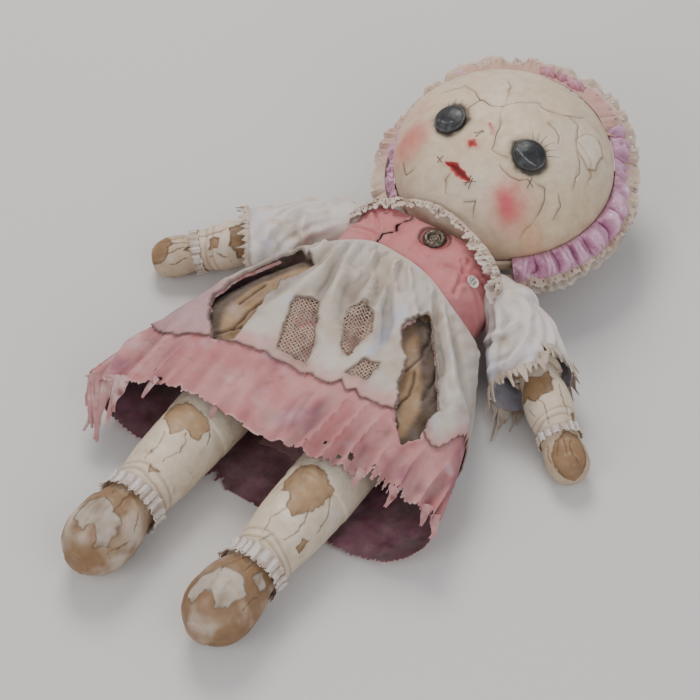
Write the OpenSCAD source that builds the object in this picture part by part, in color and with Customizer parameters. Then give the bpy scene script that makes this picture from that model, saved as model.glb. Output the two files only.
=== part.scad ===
// Ventriloquist's rag figure lying on its back: a hollow shell torso with a hand opening, a round
// head on a stick, and pinned arms and legs under a gathered dress.
// +Y points to the top of the head, +X to the figure's left, +Z out of its chest.

/* [Torso] */
// Width of the torso shell
torso_w = 132; // [128:1:136]
// Front-to-back depth of the torso shell
torso_d = 72; // [70:1:74]
// Wall of the moulded torso and head shells
wall = 4; // [3:0.5:5]
// Radius of the neck hole in the shoulder board
neck_bore_r = 17; // [16:0.5:18]

/* [Head] */
// Width of the head across the cheeks
head_w = 188; // [184:1:192]
// Height of the head from chin to crown
head_h = 176; // [172:1:178]
// Depth of the head from face to back
head_d = 132; // [128:1:134]
// Forward tilt of the face on its stick, in degrees
head_tilt = 10; // [6:1:12]
// Diameter of each button eye
eye_d = 27; // [24:1:30]

/* [Arms] */
// Angle of each arm below the line of the shoulders, in degrees
arm_yaw = 40; // [34:1:46]
// Distance from the shoulder pivot to the elbow pin
elbow_at = 66; // [64:1:68]
// Distance from the shoulder pivot to the finger end
arm_len = 162; // [160:1:166]

/* [Legs] */
// Distance from the middle of the figure to each leg
leg_x = 57; // [56:1:60]
// Distance from the hip axle to the knee pin
knee_at = 126; // [124:1:130]
// Largest radius of the thigh
thigh_r = 28.5; // [27:0.5:29]

/* [Dress] */
// Half-width of the skirt at its hem
hem_half_w = 157; // [150:1:160]
// Thickness of each layer of cloth
cloth = 1.2; // [1:0.1:1.4]

/* [Hidden] */
$fn = 64;

// Colours
cream = [0.80, 0.72, 0.62];
tan = [0.55, 0.40, 0.26];
pink = [0.78, 0.47, 0.47];
linen = [0.82, 0.77, 0.72];
lace = [0.86, 0.80, 0.76];
wood = [0.62, 0.46, 0.30];
steel = [0.55, 0.55, 0.56];

// Clearances: a running fit, a glued or pressed-in fit, and a loose gap between neighbours
run = 0.05;
snug = 0.02;
gap = 0.3;

// Torso: a stadium section lying on its back, with its middle at torso_z
torso_z = 42;
torso_r = torso_d / 2;
torso_flat = torso_w / 2 - torso_r;
hip_y = -19;
torso_y0 = hip_y + 34;
torso_y1 = torso_y0 + 82;
board_t = 14;
hip_board_t = 8;
hip_z = 33.5;
axle_r = 3;
pelvis_w = 46;
neck_y = torso_y1 - board_t / 2;
neck_z = 44;
stick_r = 8;
pin_r = 2;

// The opening for the operator's hand, in the back of the torso and the dress
hand_half_w = 40;
hand_y0 = torso_y0 + 10;
hand_y1 = torso_y0 + 68;

// Head: an ellipsoid leaning on its stick
head_y = 197;
head_z = 74;
head_lean = 3;
head_size = [head_w / 2, head_h / 2, head_d / 2];
seam_z = -14;
cap_size = [head_size[0] + 4, head_size[1] + 4, head_size[2] + 7];
ribbon_r = head_size[0] + 7;
lace_r0 = head_size[0] + 8.5;
lace_r1 = head_size[0] + 20;
head_oval = head_h / head_w;
frill_gap = 100;
eye_left_at = [40, -14];
eye_right_at = [-35, -19];

// Arms
shoulder = [86, 89, 46];
arm_dip = 11.5;
arm_ball_r = 16.5;
upper_r = 20;
elbow_ball_r = 16;
wrist_at = 122;

// Legs
leg_dip = 1.1;
knee_ball_r = 25;
ankle_at = knee_at + 86;
foot_at = ankle_at + 9;
foot_len = 66;

// Dress
bodice_out = 42;
bodice_in = 37;
bodice_y0 = 50;
bodice_y1 = torso_y1 + 2;
armhole_r = 24;
button_turn = 38;
skirt_y1 = bodice_y0 - gap;
// Rows of [distance along Y, half-width, lowest z, highest z]
skirt_rows = [
    [skirt_y1, 70, 1.6, 82], [28, 88, 1.6, 83], [8, 102, 1.6, 83], [-19, 117, 1.6, 82], [-50, 131, 1.6, 80],
    [-85, 143, 1.5, 77], [-120, 152, 0.6, 74], [-150, hem_half_w, 0.2, 71]
];
overskirt_rows = [
    [skirt_y1, 72.5, 0.2, 84], [28, 90, 0.2, 85], [8, 104, 0.2, 85], [-19, 119, 0.2, 84], [-50, 133, 0.2, 82],
    [-80, 144, 0.2, 79]
];
ring_steps = 40;

// ---------- general shapes ----------

// A flat stadium whose two round ends have radius r, as wide as the torso's flat part between them
module stadium(r) {
    union() {
        square([2 * torso_flat, 2 * r], center = true);
        for (s = [-1, 1]) translate([s * torso_flat, 0]) circle(r);
    }
}

// The stadium as a bar along Y, from y0 to y1
module torso_bar(r, y0, y1) {
    translate([0, y1, torso_z]) rotate([90, 0, 0]) linear_extrude(y1 - y0) stadium(r);
}

// A cylinder along Y, from y0 to y1, on the neck's axis
module neck_rod(r, y0, y1) {
    translate([0, y1, neck_z]) rotate([90, 0, 0]) cylinder(r = r, h = y1 - y0);
}

// A cylinder along X, centred on x = 0
module cross_rod(r, len, y, z) {
    translate([0, y, z]) rotate([0, 90, 0]) cylinder(r = r, h = len, center = true);
}

// A solid of revolution from rows of [radius, distance along the limb]
module turned(rows) {
    first = rows[0];
    last = rows[len(rows) - 1];
    rotate_extrude() polygon(concat([[0, first[1]]], rows, [[0, last[1]]]));
}

// Rows for a round end of radius r centred at distance at, from angle a0 to a1
function round_end(r, at, a0, a1, steps = 8) =
    [for (i = [0:steps]) let (a = a0 + (a1 - a0) * i / steps) [r * cos(a), at + r * sin(a)]];

module ellipsoid(size) scale(size) sphere(1);

// Children built on the limb's own axis, where local +Z runs along the limb
module arm_frame() translate(shoulder) rotate([0, 90 + arm_dip, -arm_yaw]) children();
module leg_frame() translate([leg_x, hip_y, hip_z]) rotate([90 + leg_dip, 0, 0]) children();

// The left side as drawn, or its mirror image for the right side
module sided(right) {
    if (right) mirror([1, 0, 0]) children();
    else children();
}

// The head's own frame: its centre, leaning and tilted, with local +Z out of the face
module head_frame() {
    translate([0, neck_y, 0]) rotate([0, 0, -head_lean])
        translate([0, head_y - neck_y, head_z]) rotate([head_tilt, 0, 0]) children();
}

// A place on the face, with local +Z out of the surface
function face_z(p) = head_size[2] * sqrt(1 - pow(p[0] / head_size[0], 2) - pow(p[1] / head_size[1], 2));
module on_face(p) {
    z = face_z(p);
    n = [p[0] / pow(head_size[0], 2), p[1] / pow(head_size[1], 2), z / pow(head_size[2], 2)];
    head_frame() translate([p[0], p[1], z]) rotate([0, acos(n[2] / norm(n)), atan2(n[1], n[0])]) children();
}

// A thin skirt-like tube through rows of [y, half-width, lowest z, highest z]
function signed_power(v, e) = sign(v) * pow(abs(v), e);
function tube_ring(row, inset) = [
    for (i = [0:ring_steps - 1])
        let (
            a = 360 * i / ring_steps,
            mid = (row[2] + row[3]) / 2,
            half = (row[3] - row[2]) / 2 - inset
        )
        [(row[1] - inset) * signed_power(cos(a), 0.72), row[0], mid + half * signed_power(sin(a), 0.62)]
];
module cloth_tube(rows) {
    n = ring_steps;
    m = len(rows);
    outer = [for (row = rows) each tube_ring(row, 0)];
    inner = [for (row = rows) each tube_ring(row, cloth)];
    shift = n * m;
    walls = [
        for (k = [0:m - 2], i = [0:n - 1])
            let (j = (i + 1) % n, p = k * n + i, q = k * n + j)
            each [
                [p, q, q + n], [p, q + n, p + n],
                [shift + p, shift + q + n, shift + q], [shift + p, shift + p + n, shift + q + n]
            ]
    ];
    rims = [
        for (i = [0:n - 1])
            let (j = (i + 1) % n, e = (m - 1) * n)
            each [
                [j, i, shift + i], [j, shift + i, shift + j],
                [e + i, e + j, shift + e + j], [e + i, shift + e + j, shift + e + i]
            ]
    ];
    polyhedron(concat(outer, inner), concat(walls, rims));
}

// ---------- torso ----------

module torso_tube() {
    difference() {
        torso_bar(torso_r, torso_y0, torso_y1);
        torso_bar(torso_r - wall, torso_y0 - 1, torso_y1 + 1);
        cross_rod(axle_r + 1, torso_w + 20, shoulder[1], shoulder[2]);
        board_screw_set(1.5 + snug, 16);
    }
}
module half_space(z0, z1) translate([-150, torso_y0 - 20, z0]) cube([300, 140, z1 - z0]);

module chest_shell() color(wood) intersection() {
    torso_tube();
    half_space(torso_z + 0.05, 120);
}
module back_shell() color(wood) difference() {
    intersection() {
        torso_tube();
        half_space(-5, torso_z - 0.05);
    }
    translate([-hand_half_w, hand_y0, -5]) cube([2 * hand_half_w, hand_y1 - hand_y0, 25]);
}
module shoulder_board() color(wood) difference() {
    torso_bar(torso_r - wall - 0.2, torso_y1 - board_t, torso_y1);
    neck_rod(neck_bore_r, torso_y1 - board_t - 1, torso_y1 + 1);
    for (s = [-1, 1]) translate([s * 50, shoulder[1], shoulder[2]]) rotate([0, 90, 0])
        cylinder(r = axle_r + run, h = 40, center = true);
    board_screw_set(1.5 + snug, 16);
}
module hip_board() color(wood) difference() {
    torso_bar(torso_r - wall - 0.2, torso_y0 + 2, torso_y0 + 2 + hip_board_t);
    board_screw_set(1.5 + snug, 16);
}
module pelvis_block() color(wood) difference() {
    translate([-pelvis_w / 2, hip_y - 15, 14]) cube([pelvis_w, torso_y0 + 2 - (hip_y - 15), 40]);
    cross_rod(axle_r + snug, pelvis_w + 2, hip_y, hip_z);
}
// A rod through both thighs, with a flat cap on each end
module hip_axle() color(steel) {
    cross_rod(axle_r, 2 * (leg_x + thigh_r) + 3, hip_y, hip_z);
    for (s = [-1, 1]) translate([s * (leg_x + thigh_r + 1.6), 0, 0]) cross_rod(8, 2, hip_y, hip_z);
}
// Screws through the shells into the edges of both boards
module board_screw_set(r, len) {
    for (y = [torso_y1 - board_t / 2, torso_y0 + 2 + hip_board_t / 2], x = [-24, 24], s = [-1, 1])
        translate([x, y, torso_z]) rotate([s * 90 - 90, 0, 0]) translate([0, 0, torso_r - 14])
            cylinder(r = r, h = len);
}
module board_screws() color(steel) board_screw_set(1.5, 14);

// ---------- neck and head ----------

module neck_ring() color([0.70, 0.58, 0.32]) difference() {
    union() {
        neck_rod(neck_bore_r - run, torso_y1 - board_t + 0.5, torso_y1 + 0.5);
        neck_rod(neck_bore_r + 3, torso_y1 + 0.1, torso_y1 + 2.6);
    }
    neck_rod(12, torso_y1 - board_t - 1, torso_y1 + 4);
    cross_rod(pin_r + snug, 40, neck_y, neck_z);
}
module neck_pin() color(steel) cross_rod(pin_r, 2 * neck_bore_r - 2, neck_y, neck_z);
module head_stick() color(wood) difference() {
    neck_rod(stick_r, 34, 124);
    cross_rod(pin_r + run, 40, neck_y, neck_z);
}
module stick_grip() color([0.25, 0.2, 0.17]) difference() {
    union() {
        neck_rod(11, 33, 66);
        neck_rod(12.5, 63, 66);
    }
    neck_rod(stick_r + snug, 34, 67);
}
module neck_block() color(wood) difference() {
    union() {
        neck_rod(16, 108, 126);
        neck_rod(22, 118, 126);
    }
    neck_rod(stick_r + snug, 104, 124);
}

module head_shell(shrink) difference() {
    head_frame() ellipsoid([for (s = head_size) s - shrink]);
    head_frame() ellipsoid([for (s = head_size) s - wall]);
    neck_rod(16.1, 90, 140);
    neck_rod(22.1, 117.9, 126.1);
}
module face_shell() color(cream) difference() {
    intersection() {
        head_shell(0);
        head_frame() translate([0, 0, 100 + seam_z]) cube([250, 250, 200], center = true);
    }
    for (p = [eye_left_at, eye_right_at]) on_face(p) cylinder(r = 2.5 + run, h = 30, center = true);
}
module skull_shell() color(cream) intersection() {
    head_shell(1);
    head_frame() translate([0, 0, seam_z - 0.1 - 100]) cube([250, 250, 200], center = true);
}

// A domed button with a shank that passes through the face
module eye(p) color([0.07, 0.07, 0.08]) on_face(p) {
    translate([0, 0, 0.15]) turned([[eye_d / 2, 0], [eye_d / 2, 1.2], [eye_d * 0.42, 3], [eye_d * 0.24, 4.4]]);
    translate([0, 0, -9]) cylinder(r = 2.5, h = 9.3);
}
module eye_washers() color(steel) for (p = [eye_left_at, eye_right_at]) on_face(p)
    translate([0, 0, -wall - 2.4]) difference() {
        cylinder(r = 7, h = 1.4);
        translate([0, 0, -1]) cylinder(r = 2.5 + snug, h = 4);
    }

// Soft bonnet: a cap behind the seam, a gathered ribbon round it and a lace frill outside that
module bonnet_cap() color(lace) difference() {
    intersection() {
        head_frame() ellipsoid(cap_size);
        head_frame() translate([0, 0, seam_z - 10 - 100]) cube([260, 260, 200], center = true);
    }
    head_frame() ellipsoid([for (s = head_size) s + 0.2]);
    translate([0, 112, 20]) cube([110, 40, 90], center = true);
}
// A ring of the given section round the head, open over frill_gap degrees at the neck
module round_head() {
    head_frame() scale([1, head_oval, 1]) rotate([0, 0, -90 + frill_gap / 2])
        rotate_extrude(angle = 360 - frill_gap, $fn = 72) children();
}
module bonnet_ribbon() color([0.76, 0.55, 0.72]) round_head() translate([ribbon_r, seam_z + 2]) circle(6, $fn = 16);
module bonnet_lace() color(lace) round_head()
    polygon([
        [lace_r0, seam_z - 8], [lace_r1, seam_z - 14], [lace_r1, seam_z - 12], [lace_r0, seam_z - 6]
    ]);

// ---------- dress ----------

module bodice() color(pink) difference() {
    torso_bar(bodice_out, bodice_y0, bodice_y1);
    torso_bar(bodice_in, bodice_y0 - 1, torso_y1 + 0.6);
    neck_rod(neck_bore_r + 4.5, torso_y1, bodice_y1 + 1);
    cross_rod(armhole_r, torso_w + 40, shoulder[1], shoulder[2]);
    translate([-hand_half_w, bodice_y0 - 1, -5]) cube([2 * hand_half_w, hand_y1 - bodice_y0 + 1, 25]);
}
// A flat band of lace lying round the neck
module collar_lace() color(lace) difference() {
    translate([0, bodice_y1 + 0.2 + 3, torso_z]) rotate([90, 0, 0]) linear_extrude(3) stadium(37);
    neck_rod(neck_bore_r + 10, 90, 120);
    translate([0, 100, 0]) cube([200, 30, 70], center = true);
}
module neck_snap() color([0.2, 0.18, 0.16]) translate([9, 87, torso_z + bodice_out + 0.1]) difference() {
    cylinder(r = 10, h = 3);
    translate([0, 0, 1]) cylinder(r = 5, h = 3);
}
// On the round of the left breast, button_turn degrees over from the flat front
module shirt_button() color(lace) translate([torso_flat, 71, torso_z]) rotate([0, button_turn, 0])
    translate([0, 0, bodice_out + 0.1]) difference() {
    cylinder(r = 5.5, h = 2);
    for (s = [-1, 1]) translate([s * 1.6, 0, -1]) cylinder(r = 0.7, h = 4);
}
module hand_slit() translate([-hand_half_w, hand_y0, -5]) cube([2 * hand_half_w, 80, 25]);
module skirt() color(pink) difference() {
    cloth_tube(skirt_rows);
    hand_slit();
}
module overskirt() color(linen) difference() {
    cloth_tube(overskirt_rows);
    hand_slit();
}

// ---------- arms ----------

// A disc on a journal in the shoulder board, with a flat tongue for the arm's pin
module shoulder_link(right) color(wood) sided(right) difference() {
    translate([0, shoulder[1], shoulder[2]]) union() {
        translate([torso_w / 2 + 1, 0, 0]) rotate([0, 90, 0]) cylinder(r = 12, h = 2);
        translate([36, 0, 0]) rotate([0, 90, 0]) cylinder(r = axle_r, h = torso_w / 2 - 34);
        translate([torso_w / 2 + 2, -5.5, -3.5]) cube([shoulder[0] - torso_w / 2 - 2, 11, 7]);
        translate([shoulder[0], 0, -3.5]) cylinder(r = 5.5, h = 7);
    }
    translate(shoulder) cylinder(r = pin_r + run, h = 20, center = true);
}
module shoulder_pin(right) color(steel) sided(right) translate(shoulder)
    cylinder(r = pin_r, h = 2 * arm_ball_r - 6, center = true);

// The upper arm, slotted for the shoulder's tongue and cupped for the elbow's ball
module upper_arm(right) color(cream) sided(right) difference() {
    arm_frame() turned(concat(
        round_end(arm_ball_r, 0, -90, 10), [[upper_r, 26], [upper_r, elbow_at + 1]]
    ));
    translate(shoulder) {
        translate([-18, 0, 0]) cube([36, 60, 8], center = true);
        cylinder(r = 8, h = 8, center = true);
        cylinder(r = pin_r + snug, h = 60, center = true);
    }
    arm_frame() {
        translate([0, 0, elbow_at]) sphere(elbow_ball_r + 0.4);
        translate([-elbow_ball_r - 12, 0, elbow_at]) rotate([0, 45, 0]) cube([30, 60, 30], center = true);
        translate([0, 0, elbow_at]) rotate([90, 0, 0]) cylinder(r = pin_r + snug, h = 60, center = true);
    }
}
module elbow_pin(right) color(steel) sided(right) arm_frame()
    translate([0, 0, elbow_at]) rotate([90, 0, 0]) cylinder(r = pin_r, h = 2 * upper_r - 2, center = true);
module forearm(right) color(cream) sided(right) arm_frame() difference() {
    turned(concat(
        round_end(elbow_ball_r, elbow_at, -90, 34),
        [[18.5, elbow_at + 15], [20, elbow_at + 26], [19.5, elbow_at + 38], [16.5, wrist_at - 4], [15.5, wrist_at]]
    ));
    translate([0, 0, elbow_at]) rotate([90, 0, 0]) cylinder(r = pin_r + run, h = 60, center = true);
}
module wrist_band(right) color(lace) sided(right) arm_frame() translate([0, 0, wrist_at - 4])
    difference() {
        cylinder(r = 18.6, h = 9);
        translate([0, 0, -1]) cylinder(r = 17, h = 11);
    }
module hand(right) color(tan) sided(right) arm_frame() turned(concat(
    [[15.5, wrist_at + 0.1], [16.8, wrist_at + 12]], round_end(17, arm_len - 17, 0, 88)
));
// The puffed sleeve and the lace frill at its end
module sleeve(right) color(linen) sided(right) arm_frame() difference() {
    turned([[22.6, 5], [25.4, 20], [28.6, 42], [31, elbow_at + 1]]);
    turned([[20.6, 4], [20.2, 24], [upper_r + snug, 27], [upper_r + snug, 36], [29.5, elbow_at + 2]]);
}
module sleeve_lace(right) color(lace) sided(right) arm_frame() translate([0, 0, elbow_at + 1.1])
    difference() {
        cylinder(r = 31, h = 5);
        translate([0, 0, -1]) cylinder(r = 29.5, h = 7);
    }

// ---------- legs ----------

// The thigh, bored for the hip axle and cupped for the knee's ball
module thigh(right) color(tan) sided(right) difference() {
    leg_frame() turned(concat(
        round_end(thigh_r, 0, -90, 0), [[thigh_r, knee_at + 12]]
    ));
    translate([leg_x, hip_y, hip_z]) rotate([0, 90, 0]) cylinder(r = axle_r + run, h = 80, center = true);
    leg_frame() translate([0, 0, knee_at]) {
        sphere(knee_ball_r + 0.4);
        rotate([29, 0, 0]) translate([0, 0, 40 - 12.7]) cube([90, 90, 80], center = true);
        rotate([0, 90, 0]) cylinder(r = pin_r + snug, h = 80, center = true);
    }
}
module knee_pin(right) color(steel) sided(right) leg_frame()
    translate([0, 0, knee_at]) rotate([0, 90, 0]) cylinder(r = pin_r, h = 2 * thigh_r - 6, center = true);
module shin(right) color(cream) sided(right) leg_frame() difference() {
    turned(concat(
        round_end(knee_ball_r, knee_at, -90, 8),
        [[thigh_r, knee_at + 4], [thigh_r, knee_at + 20], [27, knee_at + 50], [23.6, ankle_at - 6], [21, ankle_at]]
    ));
    translate([0, 0, knee_at]) rotate([0, 90, 0]) cylinder(r = pin_r + run, h = 80, center = true);
}
module ankle_lace(right) color(lace) sided(right) leg_frame() translate([0, 0, ankle_at - 3]) difference() {
    turned([[25, 0], [26.5, 6], [25, 12]]);
    translate([0, 0, -1]) cylinder(r = 23.7, h = 16);
}
module foot(right) color(tan) sided(right) leg_frame() translate([0, 0, foot_at - 9]) turned(concat(
    [[20.5, 0.1], [22.5, 10], [26, 20], [28, 32]], round_end(28.4, foot_len + 9 - 28.4, 0, 88)
));

// ---------- nodes ----------

chest_shell();
back_shell();
shoulder_board();
hip_board();
pelvis_block();
hip_axle();
board_screws();
neck_ring();
neck_pin();
head_stick();
stick_grip();
neck_block();
face_shell();
skull_shell();
eye(eye_left_at);  // eye_left
eye(eye_right_at);  // eye_right
eye_washers();
bonnet_cap();
bonnet_ribbon();
bonnet_lace();
bodice();
collar_lace();
neck_snap();
shirt_button();
overskirt();
skirt();
shoulder_link(false);  // shoulder_link_left
shoulder_pin(false);  // shoulder_pin_left
upper_arm(false);  // upper_arm_left
sleeve(false);  // sleeve_left
sleeve_lace(false);  // sleeve_lace_left
elbow_pin(false);  // elbow_pin_left
forearm(false);  // forearm_left
wrist_band(false);  // wrist_band_left
hand(false);  // hand_left
shoulder_link(true);  // shoulder_link_right
shoulder_pin(true);  // shoulder_pin_right
upper_arm(true);  // upper_arm_right
sleeve(true);  // sleeve_right
sleeve_lace(true);  // sleeve_lace_right
elbow_pin(true);  // elbow_pin_right
forearm(true);  // forearm_right
wrist_band(true);  // wrist_band_right
hand(true);  // hand_right
thigh(false);  // thigh_left
knee_pin(false);  // knee_pin_left
shin(false);  // shin_left
ankle_lace(false);  // ankle_lace_left
foot(false);  // foot_left
thigh(true);  // thigh_right
knee_pin(true);  // knee_pin_right
shin(true);  // shin_right
ankle_lace(true);  // ankle_lace_right
foot(true);  // foot_right
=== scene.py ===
"""The looks of a worn rag figure lying on its back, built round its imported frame.

Lengths in this file are in millimetres until a mesh is made. The row frame has +Y to the top of the head,
+X to the figure's left and +Z out of its chest.
"""

import math

import bpy
import numpy as np
from mathutils import Matrix, Vector


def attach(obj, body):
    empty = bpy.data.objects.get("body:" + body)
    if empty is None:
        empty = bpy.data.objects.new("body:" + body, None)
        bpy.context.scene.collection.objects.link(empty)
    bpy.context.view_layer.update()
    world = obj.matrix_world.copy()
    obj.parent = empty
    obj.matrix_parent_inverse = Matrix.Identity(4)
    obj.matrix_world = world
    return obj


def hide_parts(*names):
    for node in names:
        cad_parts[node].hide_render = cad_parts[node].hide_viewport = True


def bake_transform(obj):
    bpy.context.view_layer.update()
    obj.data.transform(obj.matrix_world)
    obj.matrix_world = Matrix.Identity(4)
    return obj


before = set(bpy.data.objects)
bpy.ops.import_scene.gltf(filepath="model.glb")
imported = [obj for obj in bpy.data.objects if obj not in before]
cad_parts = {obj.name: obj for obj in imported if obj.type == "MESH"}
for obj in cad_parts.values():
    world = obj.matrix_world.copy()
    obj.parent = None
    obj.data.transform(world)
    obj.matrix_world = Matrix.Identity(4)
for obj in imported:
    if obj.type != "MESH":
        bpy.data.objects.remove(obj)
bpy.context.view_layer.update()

MM = 0.001
TAU = 2 * math.pi
# edges bent by more degrees than this are drawn sharp
SHARP_EDGE = 50

# ------------------------------------------------------------------ colours, linear RGB

CREAM = (0.655, 0.545, 0.415)
TAN = (0.33, 0.205, 0.105)
BROWN = (0.17, 0.095, 0.045)
DARK = (0.03, 0.018, 0.013)
CHALK = (0.72, 0.70, 0.72)
PLUM = (0.13, 0.045, 0.06)


# ------------------------------------------------------------------ noise and small maths


def lattice(i, j, k, seed):
    """A repeatable value from 0 to 1 for each whole-number place."""
    n = (i * 73856093) ^ (j * 19349663) ^ (k * 83492791) ^ (seed * 2654435761)
    n = n & 0xFFFFFFFF
    n = ((n ^ (n >> 15)) * 2246822519) & 0xFFFFFFFF
    n = ((n ^ (n >> 13)) * 3266489917) & 0xFFFFFFFF
    return ((n ^ (n >> 16)) & 0xFFFFFF) / float(0xFFFFFF)


def noise(p, size, seed=0):
    """Smooth noise from -1 to 1 at each point of p (n x 3), with lumps about size across."""
    q = np.asarray(p, float) / size + 1000.0
    base = np.floor(q).astype(np.int64)
    f = q - base
    f = f * f * (3 - 2 * f)
    total = np.zeros(len(q))
    for dx in (0, 1):
        for dy in (0, 1):
            for dz in (0, 1):
                weight = np.abs(1 - dx - f[:, 0]) * np.abs(1 - dy - f[:, 1]) * np.abs(1 - dz - f[:, 2])
                total += weight * lattice(base[:, 0] + dx, base[:, 1] + dy, base[:, 2] + dz, seed)
    return total * 2 - 1


def layered(p, size, seed=0, layers=3):
    """Noise with finer and weaker layers added, about -1 to 1."""
    total = np.zeros(len(p))
    for i in range(layers):
        total += noise(p, size / 2**i, seed + 17 * i) / 2**i
    return total / 1.6


def step(low, high, x):
    """0 below low, 1 above high, smooth between."""
    t = np.clip((np.asarray(x, float) - low) / (high - low), 0, 1)
    return t * t * (3 - 2 * t)


def hump(x, wide):
    """1 where x is 0, falling away evenly on both sides over about wide."""
    return np.exp(-(x / wide) ** 2)


def curve_at(x, knots):
    """A smooth line through knots [(x, value), ...], read at x."""
    xs = np.array([k[0] for k in knots], float)
    ys = np.array([k[1] for k in knots], float)
    slopes = np.gradient(ys, xs)
    x = np.clip(np.asarray(x, float), xs[0], xs[-1])
    i = np.clip(np.searchsorted(xs, x) - 1, 0, len(xs) - 2)
    h = xs[i + 1] - xs[i]
    t = (x - xs[i]) / h
    a = (1 + 2 * t) * (1 - t) ** 2 * ys[i] + t * (1 - t) ** 2 * h * slopes[i]
    return a + t * t * (3 - 2 * t) * ys[i + 1] + t * t * (t - 1) * h * slopes[i + 1]


def line_distance(p, line):
    """Distance from each 2-D point of p to a broken line, and how far along it (0 to 1) is nearest."""
    best = np.full(len(p), 1e9)
    along = np.zeros(len(p))
    pts = np.asarray(line, float)
    lengths = np.linalg.norm(np.diff(pts, axis=0), axis=1)
    total = lengths.sum()
    done = 0.0
    for a, b, length in zip(pts[:-1], pts[1:], lengths):
        d = b - a
        t = np.clip(((p - a) @ d) / (d @ d), 0, 1)
        gap = np.linalg.norm(p - (a + t[:, None] * d), axis=1)
        near = gap < best
        best[near] = gap[near]
        along[near] = (done + t[near] * length) / total
        done += length
    return best, along


def inside(p, ring):
    """Signed distance from a closed 2-D outline: negative inside."""
    pts = np.asarray(list(ring) + [ring[0]], float)
    gap, _ = line_distance(p, pts)
    odd = np.zeros(len(p), bool)
    for a, b in zip(pts[:-1], pts[1:]):
        crosses = (a[1] > p[:, 1]) != (b[1] > p[:, 1])
        with np.errstate(divide="ignore", invalid="ignore"):
            x = a[0] + (p[:, 1] - a[1]) / (b[1] - a[1]) * (b[0] - a[0])
        odd ^= crosses & (p[:, 0] < x)
    return np.where(odd, -gap, gap)


def blend_colour(base, colour, amount):
    """base (n x 3) turned towards colour by amount (n)."""
    amount = np.clip(amount, 0, 1)[:, None]
    return base * (1 - amount) + np.asarray(colour, float) * amount


def flat_colour(n, colour):
    """The same colour for n points."""
    return np.tile(np.asarray(colour, float), (n, 1))


# ------------------------------------------------------------------ frames of the figure's parts


def turn(axis, degrees):
    """A turn about one axis."""
    return Matrix.Rotation(math.radians(degrees), 4, axis)


def place(matrix, p):
    """Points (n x 3) taken through a 4 x 4 matrix."""
    m = np.array(matrix)
    return p @ m[:3, :3].T + m[:3, 3]


# the neck's top edge, the head's middle beyond it, and its nod and its lean to the left in degrees
NECK_Y = 90
HEAD_CENTRE = (0, 107, 74)
HEAD_TILT = 10
HEAD_LEAN = 3
# half-sizes of the head's oval, and the height of the seam between its painted front and its rear half
HEAD = np.array([94.0, 88.0, 66.0])
SEAM_Z = -14
HEAD_FRAME = (Matrix.Translation((0, NECK_Y, 0)) @ turn("Z", -HEAD_LEAN)
              @ Matrix.Translation(HEAD_CENTRE) @ turn("X", HEAD_TILT))

# the left arm and leg run along Z of their own frames, from the shoulder's and the hip's middle
SHOULDER = (86, 89, 46)
ARM_YAW = 40
ARM_DIP = 11.5
ELBOW_AT = 66
ARM_FRAME = Matrix.Translation(SHOULDER) @ turn("Z", -ARM_YAW) @ turn("Y", 90 + ARM_DIP)

HIP = (57, -19, 33.5)
LEG_DIP = 1.1
KNEE_AT = 126
LEG_FRAME = Matrix.Translation(HIP) @ turn("X", 90 + LEG_DIP)

# the torso's section is a stadium: its middle height, and half of its flat front
TORSO_Z = 42
TORSO_FLAT = 30


def side_sign(side):
    """+X is the figure's left."""
    return 1 if side == "left" else -1


def on_side(side, p, normals, quads):
    """A surface made for the figure's left, kept there or mirrored to its right."""
    if side == "left":
        return p, normals, quads
    flip = np.array([-1, 1, 1])
    return p * flip, normals * flip, quads[:, ::-1]


# ------------------------------------------------------------------ mesh making


def make_piece(name, points, faces, material, tint=None, uv=None, slots=None):
    """A mesh object from points in mm. tint is per point; slots gives a material number per face."""
    mesh = bpy.data.meshes.new(name)
    mesh.from_pydata((np.asarray(points) * MM).tolist(), [], [tuple(int(i) for i in f) for f in faces])
    obj = bpy.data.objects.new(name, mesh)
    bpy.context.scene.collection.objects.link(obj)
    for m in material if isinstance(material, (list, tuple)) else [material]:
        mesh.materials.append(m)
    if slots is not None:
        mesh.polygons.foreach_set("material_index", np.asarray(slots, np.int32))
    if tint is not None:
        layer = mesh.color_attributes.new("Tint", "FLOAT_COLOR", "POINT")
        rgba = np.ones((len(points), 4), np.float32)
        rgba[:, :3] = np.clip(tint, 0, 1)
        layer.data.foreach_set("color", rgba.ravel())
    if uv is not None:
        layer = mesh.uv_layers.new(name="Cloth")
        loops = np.zeros(len(mesh.loops), np.int32)
        mesh.loops.foreach_get("vertex_index", loops)
        layer.data.foreach_set("uv", (np.asarray(uv)[loops] * MM).astype(np.float32).ravel())
    mesh.shade_smooth()
    mesh.set_sharp_from_angle(angle=math.radians(SHARP_EDGE))
    mesh.validate()
    mesh.update()
    return obj


def grid(us, vs):
    """Every pair of the two rows of values, as two flat arrays."""
    u, v = np.meshgrid(us, vs, indexing="ij")
    return u.ravel(), v.ravel()


def grid_faces(nu, nv, closed_u=False, closed_v=False):
    """Quads over points numbered u * nv + v."""
    us = np.arange(nu if closed_u else nu - 1)
    vs = np.arange(nv if closed_v else nv - 1)
    u, v = grid(us, vs)
    u2, v2 = (u + 1) % nu, (v + 1) % nv
    return np.stack([u * nv + v, u2 * nv + v, u2 * nv + v2, u * nv + v2], axis=1)


def grid_normals(p, nu, nv, closed_u=False):
    """A unit normal at each grid point, by differences."""
    g = p.reshape(nu, nv, 3)
    if closed_u:
        du = np.roll(g, -1, axis=0) - np.roll(g, 1, axis=0)
    else:
        du = np.gradient(g, axis=0)
    dv = np.gradient(g, axis=1)
    n = np.cross(du, dv)
    n /= np.linalg.norm(n, axis=2, keepdims=True) + 1e-12
    return n.reshape(-1, 3)


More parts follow.
